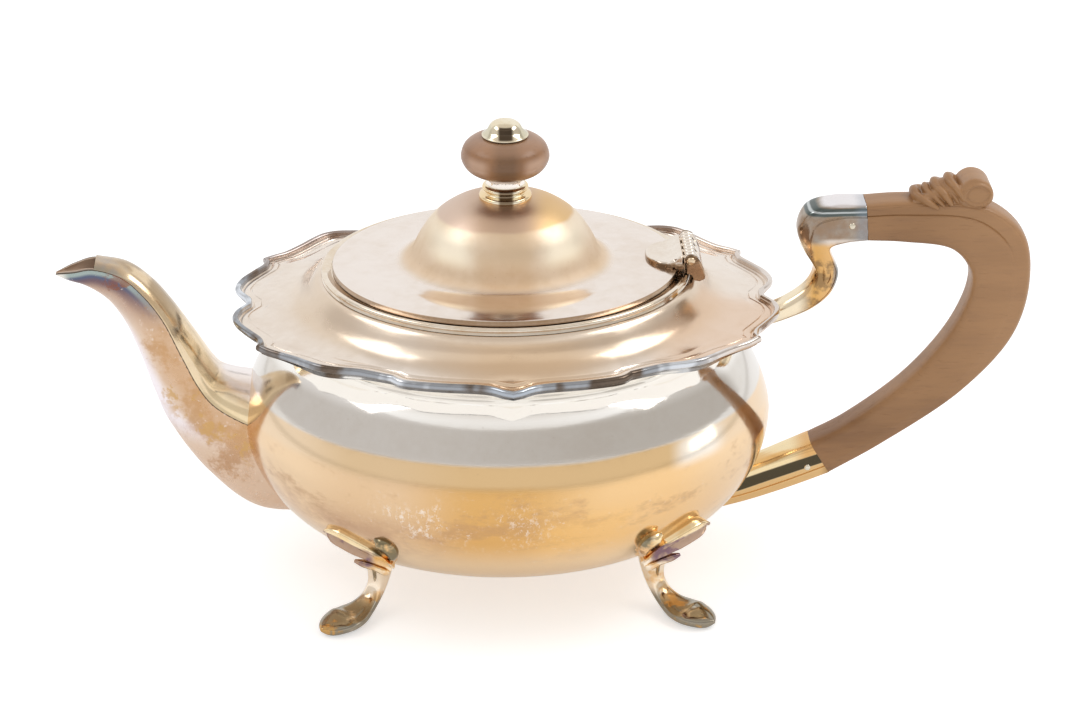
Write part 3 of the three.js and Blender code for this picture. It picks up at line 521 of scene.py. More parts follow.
def shoulder_patina(paint):
    """Warmer on the roll, and most so in front and beside the hinge."""
    x, y, z = paint.axes
    roll = z.band(88.0, 90.5, 96.5, 97.8)
    cloud = paint.noise(24.0, 4.0, 0.6).between(0.38, 0.62)
    paint.coat(roll, 0.5, (226, 206, 182))
    paint.coat(roll * cloud, 0.35, (212, 188, 160))
    paint.coat(x.near(4.0, 6.0, 36.0) * y.between(-30.0, -40.0) * z.between(96.5, 94.5), 0.7, (226, 194, 156))
    paint.coat(x.between(34.0, 52.0) * y.between(4.0, -10.0) * z.between(96.0, 93.0), 0.55, (222, 184, 150))
    paint.rough += roll * 0.05


# %% [markdown]
# The spout carries three numbers at each point of its mesh: how far it lies from the seam, how far along
# the seam it is from root to tip, and whether it faces inwards. The tarnish follows the seam by them.

# %% Patina of the spout

INSIDE_TONE = (214, 192, 172)


def spout_patina(paint):
    """Pale pink with rust below, and beside the seam near the tip films of teal, violet and brown."""
    z = paint.axes[2]
    below, run, hidden = paint.net.attributes("below_seam", "run", "inside")
    mix = paint.net.mix
    wander = paint.drift * 3.0
    worn = paint.noise(60.0, 5.0, 0.7).between(0.44, 0.6)
    rust = paint.noise(46.0, 6.0, 0.75)
    paint.coat(worn, 0.7, (238, 222, 206))
    paint.coat(rust.between(0.49, 0.62), 0.75, (190, 148, 108))
    low_down = (z + paint.drift * 30.0).between(62.0, 36.0)
    paint.coat(low_down, 0.55, (214, 176, 140))
    paint.coat(low_down * rust.between(0.50, 0.60), 0.5, (184, 140, 104))
    tip, root = run.between(0.52, 0.74), run.between(0.66, 0.50)
    rusty = (below + wander).between(13.0, 4.0)
    paint.coat(rusty, 0.65, mix(root, (160, 116, 88), (204, 158, 108)))
    film = paint.noise(95.0, 4.0, 0.65)
    violet = (below + wander * 0.6).between(6.6, 3.2) * tip
    paint.coat(violet, 0.85, (98, 82, 98))
    paint.coat(violet * film.between(0.52, 0.62), 0.7, (150, 108, 88))
    blue = (below + wander * 0.3).between(3.6, 2.2) * tip
    paint.coat(blue, 0.85, (92, 104, 128))
    teal = (below + wander * 0.2).between(2.3, 1.1) * tip
    paint.coat(teal, 0.9, (168, 182, 176))
    paint.coat(run.between(0.93, 0.985), 0.85, (246, 238, 228))
    paint.coat(below.between(0.42, 0.30), 1.0, (84, 72, 60))
    sparkle = paint.noise(500.0, 4.0, 0.7).between(0.60, 0.70) * 0.5
    paint.coat(sparkle, 1.0 - teal, (244, 232, 220))
    paint.coat((below + wander * 0.5).between(8.5, 12.5) * z.between(44.0, 56.0), 0.85, (250, 244, 250))
    stain = paint.noise(70.0, 7.0, 0.8).between(0.55, 0.60) * (below + wander).between(16.0, 9.0)
    paint.coat(stain * run.between(0.86, 0.70), 0.75, mix(tip, (206, 164, 104), (142, 88, 64)))
    paint.coat(z.between(50.0, 36.0) * (below + wander).between(9.0, 3.0), 0.75, (250, 220, 184))
    paint.coat(hidden, 1.0, INSIDE_TONE)
    paint.rough += worn * 0.10 + sparkle * 0.15 + hidden * 0.4


def upper_spout_patina_and_highlight(paint):
    """Cream and gold, a painted highlight in white along the crest, and grey-blue over brown near the tip."""
    above, run, hidden = paint.net.attributes("below_seam", "run", "inside")
    film = paint.noise(80.0, 3.0, 0.6)
    tip, root = run.between(0.60, 0.84), run.between(0.45, 0.25)
    paint.coat(tip, 0.7, (190, 164, 138))
    paint.coat(tip * (above + paint.drift * 1.5).between(1.5, 0.3), 0.7, (150, 150, 138))
    paint.coat(tip * film.between(0.46, 0.60), 0.7, (164, 168, 172))
    paint.coat(root * film.between(0.40, 0.58), 0.6, (240, 226, 200))
    paint.coat(root * film.between(0.58, 0.66), 0.6, (202, 160, 96))
    middle = above.band(1.6, 2.6, 5.0, 7.0) * run.band(0.44, 0.58, 0.80, 0.90)
    paint.coat(middle * film.between(0.36, 0.50), 0.75, (160, 138, 110))
    # A painted highlight: white along the crest.
    paint.coat(above.between(5.0, 7.4), 0.8, (248, 243, 246))
    paint.coat(root * above.between(5.0, 2.5), 0.6, (250, 228, 184))
    paint.coat(hidden, 1.0, INSIDE_TONE)
    paint.rough += hidden * 0.4


# %% [markdown]
# The smaller castings are next. Cloth reaches their high faces, so these stay pale, and the film grows in
# the hollows. The finial, the upper socket and the border wire also carry painted highlights, painted
# reflections and painted shade. Two of the masks need a slope: the leaf on each foot rises outwards, and the
# lower socket falls towards the pot. A height minus the slope times x is the same all along such a line.

# %% Patina of the castings

LEAF_SLOPE = 0.245
SOCKET_LINE_Z = 116.2
HORN_SLOPE, HORN_TOP = 0.3777, 5.322


def hand_patina(paint):
    """Darker film in clouds, with gold where it thins."""
    film = paint.noise(110.0, 4.0, 0.6)
    paint.coat(film.between(0.52, 0.68), 0.55, (140, 112, 92))
    paint.coat(film.between(0.40, 0.28), 0.6, (196, 158, 104))


def foot_patina(paint):
    """Cream and gold on the leg, violet and brown in the leaf, dark green on the curl and a smoky toe."""
    x, _, z = paint.axes
    film = paint.noise(120.0, 4.0, 0.6)
    outward = x.size()
    paint.coat(film.between(0.50, 0.60), 0.6, (226, 172, 98))
    paint.coat(film.between(0.64, 0.70), 0.6, (132, 92, 62))
    toe = (z + paint.drift * 4.0).between(8.0, 5.0)
    paint.coat(toe * film.between(0.22, 0.42), 0.85, (128, 124, 112))
    paint.coat(toe * film.between(0.54, 0.60), 0.8, (214, 166, 96))
    leaf_part = outward.between(39.5, 42.5) * z.between(22.8, 24.2)
    rim = (z - outward * LEAF_SLOPE).between(20.2, 21.2)
    face = leaf_part * (1.0 - rim)
    paint.coat(face, 0.75, (150, 112, 92))
    paint.coat(face * film.between(0.44, 0.54), 0.8, (120, 94, 116))
    paint.coat(leaf_part * rim, 0.7, (250, 226, 176))
    curl = outward.between(41.5, 39.5)
    paint.coat(curl * z.between(28.5, 30.0) * film.between(0.62, 0.52), 0.85, (104, 98, 72))
    paint.coat(curl * z.band(25.5, 27.0, 28.5, 30.0), 0.8, (236, 178, 88))


def hinge_patina(paint):
    """Pale where the cloth reaches it, brown and gold on the faces below and at the ends."""
    y, z = paint.axes[1:]
    film = paint.noise(160.0, 4.0, 0.6)
    dark = (z + paint.drift).between(102.2, 101.6).most(y.size().between(8.6, 9.2))
    paint.coat(dark, 0.85, (160, 126, 90))
    paint.coat(dark * film.between(0.48, 0.58), 0.8, (104, 82, 60))


def finial_patina_and_reflections(paint):
    """Painted reflections: bright at the sides and dark in front, between the rings and on the cap's front.
    """
    x, y, z = paint.axes
    front = x.near(0.0, 1.6, 2.6) * y.between(0.0, -2.0)
    rings = z.between(125.2, 124.6)
    dome = z.band(140.4, 140.9, 143.6, 144.0)
    # Painted dark reflections in front.
    paint.coat(front * rings, 0.85, (104, 80, 54))
    paint.coat(front * dome, 0.95, (66, 50, 36))
    # Painted bright reflections at the sides.
    paint.coat(x.size().between(3.2, 4.8) * rings, 0.6, (240, 206, 150))
    paint.coat(x.size().between(3.6, 4.6) * dome, 0.45, (182, 180, 158))
    paint.coat(z.band(139.5, 140.0, 140.2, 140.4), 0.7, (140, 142, 130))
    paint.coat(z.band(125.1, 125.5, 128.0, 129.0), 0.7, (252, 244, 240))


def socket_patina_and_reflections(paint):
    """Nearly white on top, a painted reflection; a teal line beside it with a painted highlight along its
    middle; brown on the flats; gold with dark films down the neck.
    """
    x, _, z = paint.axes
    film = paint.noise(95.0, 4.0, 0.65)
    wander = paint.drift * 2.0
    level = z + wander * 0.5
    paint.coat(film.between(0.46, 0.60), 0.7, (150, 128, 104))
    paint.coat(film.between(0.60, 0.70), 0.7, (190, 140, 96))
    paint.coat(z.between(115.0, 113.5) * film.between(0.36, 0.52), 0.6, (150, 122, 98))
    paint.coat(level.near(SOCKET_LINE_Z, 0.9, 1.4), 0.9, (80, 92, 92))
    # A painted highlight along the middle of the teal line.
    paint.coat(level.near(SOCKET_LINE_Z, 0.1, 0.4), 0.7, (220, 224, 224))
    # A painted reflection makes the top nearly white.
    paint.coat(level.between(117.4, 118.0), 0.9, (240, 236, 238))
    paint.coat((z + wander).between(108.4, 107.0) * x.between(91.75, 95.75), 0.7, (240, 230, 220))
    paint.coat((x + wander * 2.0).between(102.25, 105.25), 0.35, (140, 154, 168))
    neck = (z + wander * 3.0).between(107.5, 104.5)
    paint.coat(neck, 0.85, (226, 174, 98))
    paint.coat(neck * film.between(0.50, 0.60), 0.7, (118, 96, 74))
    paint.coat(neck * (x + wander).between(96.75, 98.55), 0.8, (140, 148, 152))
    paint.coat(neck * (x + wander * 3.0).between(91.75, 86.25), 0.9, (246, 232, 204))


def lower_patina(paint):
    """The flat side is nearly black, with cream and gold on the slopes above and below it. The fall is how
    far down a place lies from the top of the horn."""
    x, _, z = paint.axes
    fall = x * HORN_SLOPE + HORN_TOP - z + paint.drift * 0.4
    paint.coat(fall.band(3.6, 4.1, 7.3, 7.8), 0.95, (58, 52, 40))
    paint.coat(fall.between(7.4, 7.8), 0.7, (216, 168, 104))
    paint.coat(x.between(85.75, 91.75) * fall.between(4.1, 3.6), 0.8, (214, 160, 92))
    paint.coat(x.between(95.25, 98.25), 0.5, (126, 92, 58))
    paint.coat(fall.near(2.2, 0.1, 0.4) * x.between(77.75, 83.75), 0.25, (150, 104, 56))


def border_patina_and_reflections(paint):
    """Dark brown, blue-grey and bright lengths along the wire, partly tarnish and partly painted reflections,
    the bright ones painted highlights; a pale blue-grey painted reflection in front; paler and golden on the
    handle's side, with painted shade underneath.
    """
    x, y, z = paint.axes
    length = paint.noise(62.0, 3.0, 0.55, (1.0, 1.0, 0.4))
    # Lengths of blue-grey painted reflection, and bright ones that are painted highlights.
    paint.coat(length.between(0.40, 0.50), 1.0, (160, 163, 168))
    paint.coat(length.between(0.55, 0.62), 1.0, (218, 222, 228))
    # A pale blue-grey painted reflection on the front.
    paint.coat(x.near(0.0, 5.0, 10.0) * y.between(0.0, -40.0), 0.85, (182, 190, 200))
    paint.coat(y.between(15.0, 35.0), 0.75, (176, 158, 148))
    side = x.between(50.0, 64.0)
    paint.coat(side, 0.85, (226, 214, 204))
    # Painted shade under the wire, golden on the handle's side.
    low_down = z.between(87.8, 86.8)
    paint.coat(low_down * (1.0 - side), 0.6, (78, 68, 58))
    paint.coat(low_down * side, 0.7, (190, 146, 92))


# %% [markdown]
# Now the silvers get their names. After the two tones come the depth of the clouds, the roughness where the
# silver is clean, how many clouds there are to the metre, and the coats of tarnish, with painted light on
# some.

# %% The silvers

lid_silver = silver("lid silver", (238, 228, 220), (226, 211, 196), 0.7, 0.12, 22.0, lid_patina_and_painted_light)
band_silver = silver("band silver", (236, 224, 208), (216, 192, 160), 0.7, 0.10, 40.0)
shoulder_silver = silver(
    "shoulder silver", (236, 225, 214), (224, 208, 192), 0.7, 0.15, 26.0, shoulder_patina)
belly_silver = silver("belly silver", (226, 221, 214), (216, 208, 198), 0.6, 0.08, 24.0, belly_patina_and_painted_light)
spout_silver = silver("spout silver", (232, 212, 196), (214, 186, 160), 0.6, 0.24, 34.0, spout_patina, 0.8)
upper_spout_silver = silver(
    "upper spout silver", (240, 218, 184), (222, 190, 146), 0.7, 0.15, 40.0, upper_spout_patina_and_highlight)
cast_silver = silver("cast silver", (230, 208, 178), (204, 172, 130), 0.8, 0.14, 60.0, hand_patina)
foot_silver = silver("foot silver", (250, 234, 212), (240, 208, 158), 0.8, 0.12, 60.0, foot_patina)
# The border's dark base tones are tarnish and a painted dark reflection.
border_silver = silver("border silver", (112, 98, 86), (90, 78, 68), 0.8, 0.14, 60.0, border_patina_and_reflections)
hinge_silver = silver("hinge silver", (236, 226, 214), (222, 206, 188), 0.6, 0.13, 80.0, hinge_patina)
socket_silver = silver("socket silver", (172, 160, 146), (140, 130, 120), 0.8, 0.13, 50.0, socket_patina_and_reflections)
finial_silver = silver("finial silver", (240, 230, 206), (226, 206, 168), 0.6, 0.08, 90.0, finial_patina_and_reflections)
lower_silver = silver("lower socket silver", (236, 216, 174), (244, 220, 172), 0.8, 0.13, 60.0, lower_patina)
bright_silver = silver("bright silver", (226, 218, 200), (190, 174, 146), 0.6, 0.07, 90.0)

# %% [markdown]
# ## Waxed fruitwood
#
# The handle and the knob are a close-grained wood with a satin wax finish. Grain runs with the board, so
# noise is stretched along X; short dark pores lie in the same direction. Handling has polished the grip's
# outer bend, and the knob carries painted highlights, painted light and painted shade.

# %% The wood finish


def wood(name, stretch, first, second, third, tarnish_and_painted_light, sheen):
    """Straight-grained wood: long streaks of two tones, a third in slow clouds, pores, and a satin coat."""
    paint = Paint(name)
    sway = paint.noise(30.0, 2.0, 0.5)
    streak = paint.noise(130.0, 5.0, 0.6, stretch)
    fine = paint.noise(620.0, 3.0, 0.6, stretch)
    pores = paint.noise(1500.0, 2.0, 0.5, stretch).between(0.60, 0.72)
    paint.colour = paint.net.mix(streak.between(0.35, 0.68), first, second)
    paint.coat(sway.between(0.4, 0.65), 0.5, third)
    paint.coat(fine.between(0.5, 0.7), 0.22, (132, 94, 64))
    paint.coat(pores, 0.2, (104, 74, 50))
    tarnish_and_painted_light(paint)
    paint.rough = 0.42 + streak * 0.1 + pores * 0.15
    return paint.finished(streak * 0.3 + fine * 0.4 - pores * 0.8, 0.10, 0.0003, {
        "Specular IOR Level": 0.5, "Coat Weight": sheen, "Coat Roughness": 0.22})


def grip_patina(paint):
    """Paler round the outer bend, where the hand polishes the wood."""
    paint.coat(paint.axes[0].between(123.75, 151.75), 0.3, (204, 156, 110))


def knob_painted_light(paint):
    """Painted light and shade: a dark reflection painted in front, painted shade below, painted highlights on
    the shoulders and painted light on top.
    """
    x, y, z = paint.axes
    # A painted dark reflection in front.
    paint.coat(x.near(0.0, 1.5, 5.5) * y.between(0.0, -6.0), 0.7, (100, 68, 36))
    # Painted highlights on the shoulders.
    painted_highlights = x.size().near(8.5, 1.0, 4.5) * z.near(133.5, 1.0, 3.6) * y.between(0.0, -4.0)
    paint.coat(painted_highlights, 0.5, (226, 190, 164))
    # Painted shade below.
    paint.coat(z.between(131.8, 128.8), 0.5, (128, 78, 42))
    # Painted light on top.
    paint.coat(z.between(136.6, 138.8), 0.4, (176, 138, 110))


handle_wood = wood(
    "handle wood", (0.12, 1.0, 1.0), (160, 116, 72), (140, 99, 60), (170, 126, 82), grip_patina, 0.25)
knob_wood = wood(
    "knob wood", (0.5, 1.0, 1.0), (154, 106, 64), (136, 92, 54), (168, 120, 76), knob_painted_light, 0.5)

# %% [markdown]
# ## The border
#
# The pie-crust border is the pot's signature: a wire soldered round a flat edge, smooth in four runs to a
# quarter and pinched to a sharp point where two runs meet. Each run is its own smooth curve, so the points
# stay sharp. The section is carried round that edge, and it moves inwards along the line to the pot's
# middle.

# %% The border's outline

EDGE_RUNS = [
    [(77.4, 0), (77.6, 2.2), (78.9, 4.4), (80.5, 7.6), (81.0, 11.2), (79.7, 16.4), (76.4, 22.2), (73.4, 27.2),
     (72.7, 30.4)],
    [(73.4, 32.0), (70.8, 34.6), (67.2, 37.3), (62.4, 41.8), (58.6, 46.0), (55.4, 48.8), (51.0, 50.6),
     (46.6, 51.2), (43.6, 51.6)],
    [(43.6, 51.6), (39.2, 53.2), (34.5, 55.4)],
    [(34.2, 55.9), (32.2, 58.0), (28.3, 59.6), (20.5, 61.4), (10.1, 62.9), (6.1, 64.1), (2.8, 66.4),
     (0, 67.6)],
]
RUN_POINTS = [40, 32, 8, 34]


def edge_outline():
    """The border's whole edge: one quarter, mirrored across both axes."""
    quarter = np.concatenate([smooth(run, count) for run, count in zip(EDGE_RUNS, RUN_POINTS)])
    keep = np.concatenate([[True], np.linalg.norm(np.diff(quarter, axis=0), axis=1) > 0.05])
    quarter = quarter[keep]
    half = np.concatenate([quarter, quarter[-2::-1] * [-1, 1]])
    return np.concatenate([half, half[-2:0:-1] * [1, -1]])


edge = edge_outline()
edge_distance = np.linalg.norm(edge, axis=1)
edge_radius = np.hypot(edge[:, 0], edge[:, 1] / PLAN_SHARE)
print(f"border outline: {len(edge)} points, {edge_distance.min():.1f} to {edge_distance.max():.1f} mm out")

# %% [markdown]
# Seen from the side the border isn't flat either: it lifts a little at the corners of the pot and dips
# before them. The wire is round, and the flat band behind it carries two fine steps.

# %% Border wire and band

bearing = np.degrees(np.arctan2(np.abs(edge[:, 1]) / PLAN_SHARE, np.abs(edge[:, 0])))
CORNER_LIFT, DIP = 0.9, 0.35
lift = CORNER_LIFT * bell(bearing, 47, 8) - DIP * bell(bearing, 32, 4)


def inwards(distances, heights):
    """Rows of points that follow the edge, moved towards the middle by the distances, at the heights."""
    share = (edge_distance[:, None] - distances) / edge_distance[:, None]
    plan = edge[:, None, :] * share[..., None]
    return np.concatenate([plan, (np.asarray(heights) + lift[:, None])[..., None]], -1)


BORDER_TOP, BAND_WIDTH = 88.9, 5.2
WIRE_RADIUS = 0.95
WIRE_HIGH = WIRE_RADIUS * 1.2
circle = np.linspace(0, 2 * np.pi, 20, endpoint=False)
wire_in, wire_up = WIRE_RADIUS * (1 + np.cos(circle)), BORDER_TOP - WIRE_HIGH + WIRE_HIGH * np.sin(circle)
band_in = np.array([1.2, 2.3, 2.5, 2.8, 3.3, 4.3, 4.6, 4.75, 5.0, BAND_WIDTH, BAND_WIDTH, 2.4, 1.2])
band_up = np.array([87.5, 87.5, 87.2, 87.35, 87.6, 87.7, 87.7, 87.5, 87.55, 87.75, 86.6, 86.5, 86.9])
border_band = built("border_band", grid(inwards(band_in, band_up), endless=True))
border_wire = built("border_wire", grid(inwards(wire_in, wire_up), endless=True))
piece(border_band, "pot", "rim_border", shoulder_silver, 35)
piece(border_wire, "pot", "rim_border", border_silver, 50)

# %% [markdown]
# ## The bowl
#
# The pot was stamped and spun from sheet, and its plan is an oval. A turned profile squeezed across Y gives
# that form exactly, inside and outside in one closed loop, with the wall's thickness between them. Only the
# flare at the top leaves the oval, because it has to meet the wire all the way round the scallops.

# %% Bowl

BASE_Z, BELLY_Z = 16.5, 53.3
WALL = 1.2
FLARE_START, FLARE_END, FLARE_Z = 62.4, 70.9, 79.5
WIRE_COVER = 1.3
SOLDER_DEPTH = 0.5
arc = np.linspace(0, np.pi / 2, 56)
lower_belly = np.stack(
    [41.5 + 38 * bent(np.sin(arc), 2 / 1.94), BELLY_Z - 36.8 * bent(np.cos(arc), 2 / 1.94)], 1)
upper_belly = np.stack(
    [62.5 + 17 * bent(np.cos(arc), 2 / 1.55), BELLY_Z + 26.9 * bent(np.sin(arc), 2 / 1.55)], 1)
flare = smooth([(62.5, 80.2), (63.1, 81.9), (64.7, 83.5), (67.2, 84.7), (70.6, 85.7)], 16)
outside = np.concatenate([[(0, BASE_Z), (20, BASE_Z), (36, BASE_Z)], lower_belly, upper_belly[1:], flare[1:]])
inside = offset(outside, -WALL)
inside[:4, 1] = BASE_Z + WALL
inside[0, 0] = 0
bowl_profile = np.concatenate([outside, [(FLARE_END, 85.9), (70.6, 86.2)], inside[::-1]])


def bowl_points(columns=320):
    """The profile carried round: x = radius cos a, y = share radius sin a. Along the flare the radius grows
    until it lies under the wire at that angle."""
    angle = np.linspace(0, 2 * np.pi, columns, endpoint=False)
    edge_angle = np.arctan2(edge[:, 1] / PLAN_SHARE, edge[:, 0])
    order = np.argsort(edge_angle)
    wire = np.interp((angle + np.pi) % (2 * np.pi) - np.pi, edge_angle[order], edge_radius[order])
    radius, height = bowl_profile[:, :1], bowl_profile[:, 1:]
    flared = (radius > FLARE_START) & (height > FLARE_Z)
    stretch = np.where(flared, (radius - FLARE_START) / (FLARE_END - FLARE_START), 0)
    radius = radius + stretch * (wire - WIRE_COVER - FLARE_END)
    return np.stack([radius * np.cos(angle), PLAN_SHARE * radius * np.sin(angle), height + 0 * radius], -1)


bowl = built("bowl", grid(bowl_points()))
strainer = new_object("strainer", bowl.data.copy())
belly_block = np.concatenate([[(0, 17.0)], offset(outside, -SOLDER_DEPTH)[4:-14], [(0, 80.0)]])
belly_cutter = built("belly_cutter", turned(belly_block, OVAL_COLUMNS, PLAN_SHARE))
print(f"bowl: a wall of {WALL} mm, and a cutter {SOLDER_DEPTH} mm inside it for what is soldered on")

# %% [markdown]
# Behind the spout the wall has one oval hole, and a plate of small holes sits in it to hold back the
# leaves. The plate is the same wall, cut out by a slightly smaller plug and then drilled.

# %% Hole and strainer

HOLE_HEIGHT, HOLE_WIDTH, HOLE_Z = 33.0, 21.0, 44.1
PLATE_GAP = 0.2
PLUG_FROM, PLUG_TO = -100, -55
DRILL, DRILL_ACROSS, DRILL_UP = 3.0, 6.0, 5.2


def cut(thing, operation, height, width, y, z):
    """A boolean with an oval plug along X through the wall on the spout's side, which is then thrown away."""
    angle = np.linspace(0, 2 * np.pi, 48, endpoint=False)
    ring = np.stack([0 * angle, y + width / 2 * np.cos(angle), z + height / 2 * np.sin(angle)], -1)
    plug = built("plug", capped(np.array([ring + [PLUG_FROM, 0, 0], ring + [PLUG_TO, 0, 0]])))
    shaped(thing, plug, operation)
    bpy.data.objects.remove(plug)


cut(bowl, "DIFFERENCE", HOLE_HEIGHT, HOLE_WIDTH, 0, HOLE_Z)
cut(strainer, "INTERSECT", HOLE_HEIGHT - 2 * PLATE_GAP, HOLE_WIDTH - 2 * PLATE_GAP, 0, HOLE_Z)
for row in range(-2, 3):
    for step in (-1, 0, 1) if row % 2 == 0 else (-0.5, 0.5):
        y, z = step * DRILL_ACROSS, row * DRILL_UP
        if math.hypot(y / HOLE_WIDTH, z / HOLE_HEIGHT) < 0.4:
            cut(strainer, "DIFFERENCE", DRILL, DRILL, y, HOLE_Z + z)
piece(bowl, "pot", "body_bowl", belly_silver)
piece(strainer, "pot", "spout_strainer", lid_silver)

# %% [markdown]
# ## The shoulder
#
# From the border the shoulder sweeps in over a shallow hollow and a full roll to the lid opening. Its foot
# follows the border's points, and each section blends into the plain oval on the way up, so the scallops
# fade like pleats in cloth.

# %% Shoulder and band

FOOT_RADIUS, FOOT_Z = 69.2, 87.7
ROLL_RADIUS, ROLL_Z = 55.4, 97.0
OPENING = 50.4
SHOULDER_WAY = [(0, 0), (0.05, 0.01), (0.10, 0.05), (0.16, 0.065), (0.38, 0.16), (0.55, 0.31), (0.70, 0.53),
                (0.82, 0.76), (0.90, 0.90), (0.96, 0.975), (1, 1)]


def shoulder_points():
    """Sections from the border's band to the opening: the hollow, the roll, a flat edge, and back beneath.
    What the scallops add fades with the fourth power of the way that is left."""
    foot = edge_radius * (edge_distance - BAND_WIDTH + 0.15) / edge_distance
    share = smooth(SHOULDER_WAY, 44)
    fading = (1 - share[:, 0]) ** 4
    radius = FOOT_RADIUS + (ROLL_RADIUS - FOOT_RADIUS) * share[:, 0] + (foot - FOOT_RADIUS)[:, None] * fading
    height = FOOT_Z + (ROLL_Z - FOOT_Z) * share[:, 1] + lift[:, None] * fading
    top = np.stack([radius, height], -1)
    flat = [[OPENING + 2, 97.05], [OPENING, 97.05], [OPENING, 96.0]]
    under = top[:, ::-3] + [-0.25, -1.15]
    section = np.concatenate([top, np.broadcast_to(flat, (len(edge), 3, 2)), under], 1)
    plan = edge[:, None, :] / edge_radius[:, None, None] * section[..., :1]
    return np.concatenate([plan, section[..., 1:]], -1)


shoulder = built("shoulder", grid(shoulder_points(), endless=True))
piece(shoulder, "pot", "body_shoulder", shoulder_silver)
bezel_profile = np.concatenate([
    [(54.9, 97.15), (54.75, 97.5)],
    smooth([(54.6, 97.8), (54.8, 98.5), (54.4, 99.05), (53.7, 99.2), (53.1, 99.0)], 14),
    [(52.5, 98.7), (51.85, 98.55), (51.8, 98.45), (48.6, 98.45), (48.6, 93.9), (49.8, 93.9), (49.8, 97.15)]])
band = built("lid_band", turned(bezel_profile, OVAL_COLUMNS, PLAN_SHARE))
piece(band, "pot", "opening_bezel", band_silver, 30)

# %% [markdown]
# ## The lid and its ring
#
# The lid rises gently from its edge and then swells into a bell-shaped dome. One profile makes it, outside
# first and then the inside a sheet's thickness lower, so the lid is closed when it stands open.

# %% Lid

LID_SHEET, LID_BOTTOM = 1.1, 98.6
STUD_HOLE = 2.3
lid_top = smooth([
    (51.35, 99.1), (50.9, 99.22), (47.6, 99.5), (43.5, 99.75), (41.0, 99.75), (38.0, 99.65), (35.0, 99.7),
    (33.0, 99.9), (31.0, 100.35), (29.3, 101.0), (28.0, 101.9), (27.1, 103.0), (26.4, 104.4), (25.7, 106.0),
    (24.8, 107.8), (23.6, 109.8), (22.0, 112.2), (20.0, 114.4), (17.3, 116.5), (13.9, 118.4), (9.5, 119.5),
    (5, 119.8), (STUD_HOLE, 119.8)], 150)
lid_under = offset(lid_top, LID_SHEET)
lid_under[:8, 1] = np.maximum(lid_under[:8, 1], LID_BOTTOM)
lid_edge = [(51.3, LID_BOTTOM), (51.45, LID_BOTTOM + 0.15), (51.45, 99.0)]
lid_profile = np.concatenate([lid_top, [(STUD_HOLE, 118.7)], lid_under[-2:1:-1], lid_edge])
lid = built("lid_shell", turned(lid_profile, OVAL_COLUMNS, PLAN_SHARE))
piece(lid, "lid", "lid", lid_silver)
ring_profile = np.array([
    (47.85, 98.4), (47.9, 98.2), (47.9, 94.4), (47.6, 94.25), (47.0, 94.25), (46.9, 94.4), (46.9, 98.4)])
ring = built("lid_ring", turned(ring_profile, 128, PLAN_SHARE))
piece(ring, "lid", "lid_inner_rim", lid_silver, 30)

# %% [markdown]
# ## The finial
#
# Two silver rings, a wooden knob like a flattened bun, and a domed cap whose stud runs down through
# everything to a nut inside the lid. They are lathe work on the real pot and turned profiles here.

# %% Collar, knob, cap and nut

collar_profile = np.concatenate([
    [(STUD_HOLE, 120.2)],
    smooth([(6.9, 120.2), (7.6, 120.55), (7.85, 121.3), (7.6, 122.0), (6.9, 122.35)], 14),
    smooth([(6.3, 122.55), (6.1, 122.95), (6.35, 123.35)], 6),
    smooth([(6.6, 123.5), (6.85, 124.05), (6.6, 124.6), (6.1, 124.8)], 10),
    smooth([(5.75, 125.0), (5.55, 125.6), (5.55, 126.6), (5.7, 127.75)], 8), [(STUD_HOLE, 127.75)]])
knob_side = smooth([
    (5.4, 128.15), (8.9, 128.7), (11.6, 130.5), (12.95, 133.2), (12.85, 135.0), (11.9, 137.2), (9.6, 139.0),
    (7.0, 139.75), (5.6, 139.85)], 60)
knob_profile = np.concatenate([[(STUD_HOLE, 128.15)], knob_side, [(STUD_HOLE, 139.85)]])
cap_profile = np.concatenate([
    [(0, 113.45), (1.5, 113.45), (2, 114), (2, 140.05)],
    smooth([(6.6, 140.05), (6.85, 140.2), (6.85, 140.45), (6.5, 140.75)], 9),
    smooth([(6.5, 140.75), (5.85, 141.3), (5.3, 141.9), (4.95, 142.5), (4.55, 143.2), (3.9, 143.9),
            (3.0, 144.4), (1.5, 144.76), (0, 144.82)], 30)])
nut_profile = np.array([
    (STUD_HOLE, 118.3), (STUD_HOLE, 115.5), (4.4, 115.5), (4.9, 115.9), (4.9, 118.0), (4.6, 118.3)])
collar = built("finial_collar", turned(collar_profile, LATHE_COLUMNS))
knob = built("knob", turned(knob_profile, LATHE_COLUMNS))
cap = built("finial_cap", turned(cap_profile, LATHE_COLUMNS))
nut = built("finial_nut", turned(nut_profile, 6))
piece(collar, "lid", "finial_collar", finial_silver, 50)
piece(knob, "lid", "finial_knob", knob_wood)
piece(cap, "lid", "finial_cap", finial_silver, 45)
piece(nut, "lid", "finial_nut", cast_silver, 25)

# %% [markdown]
# ## The spout
#
# The spout was raised from two strips of silver and soldered along both sides, and the seam still shows as
# a thin ridge. Each half is an arc between the seam and its own edge: the crest above, the keel below.

# %% Spout halves

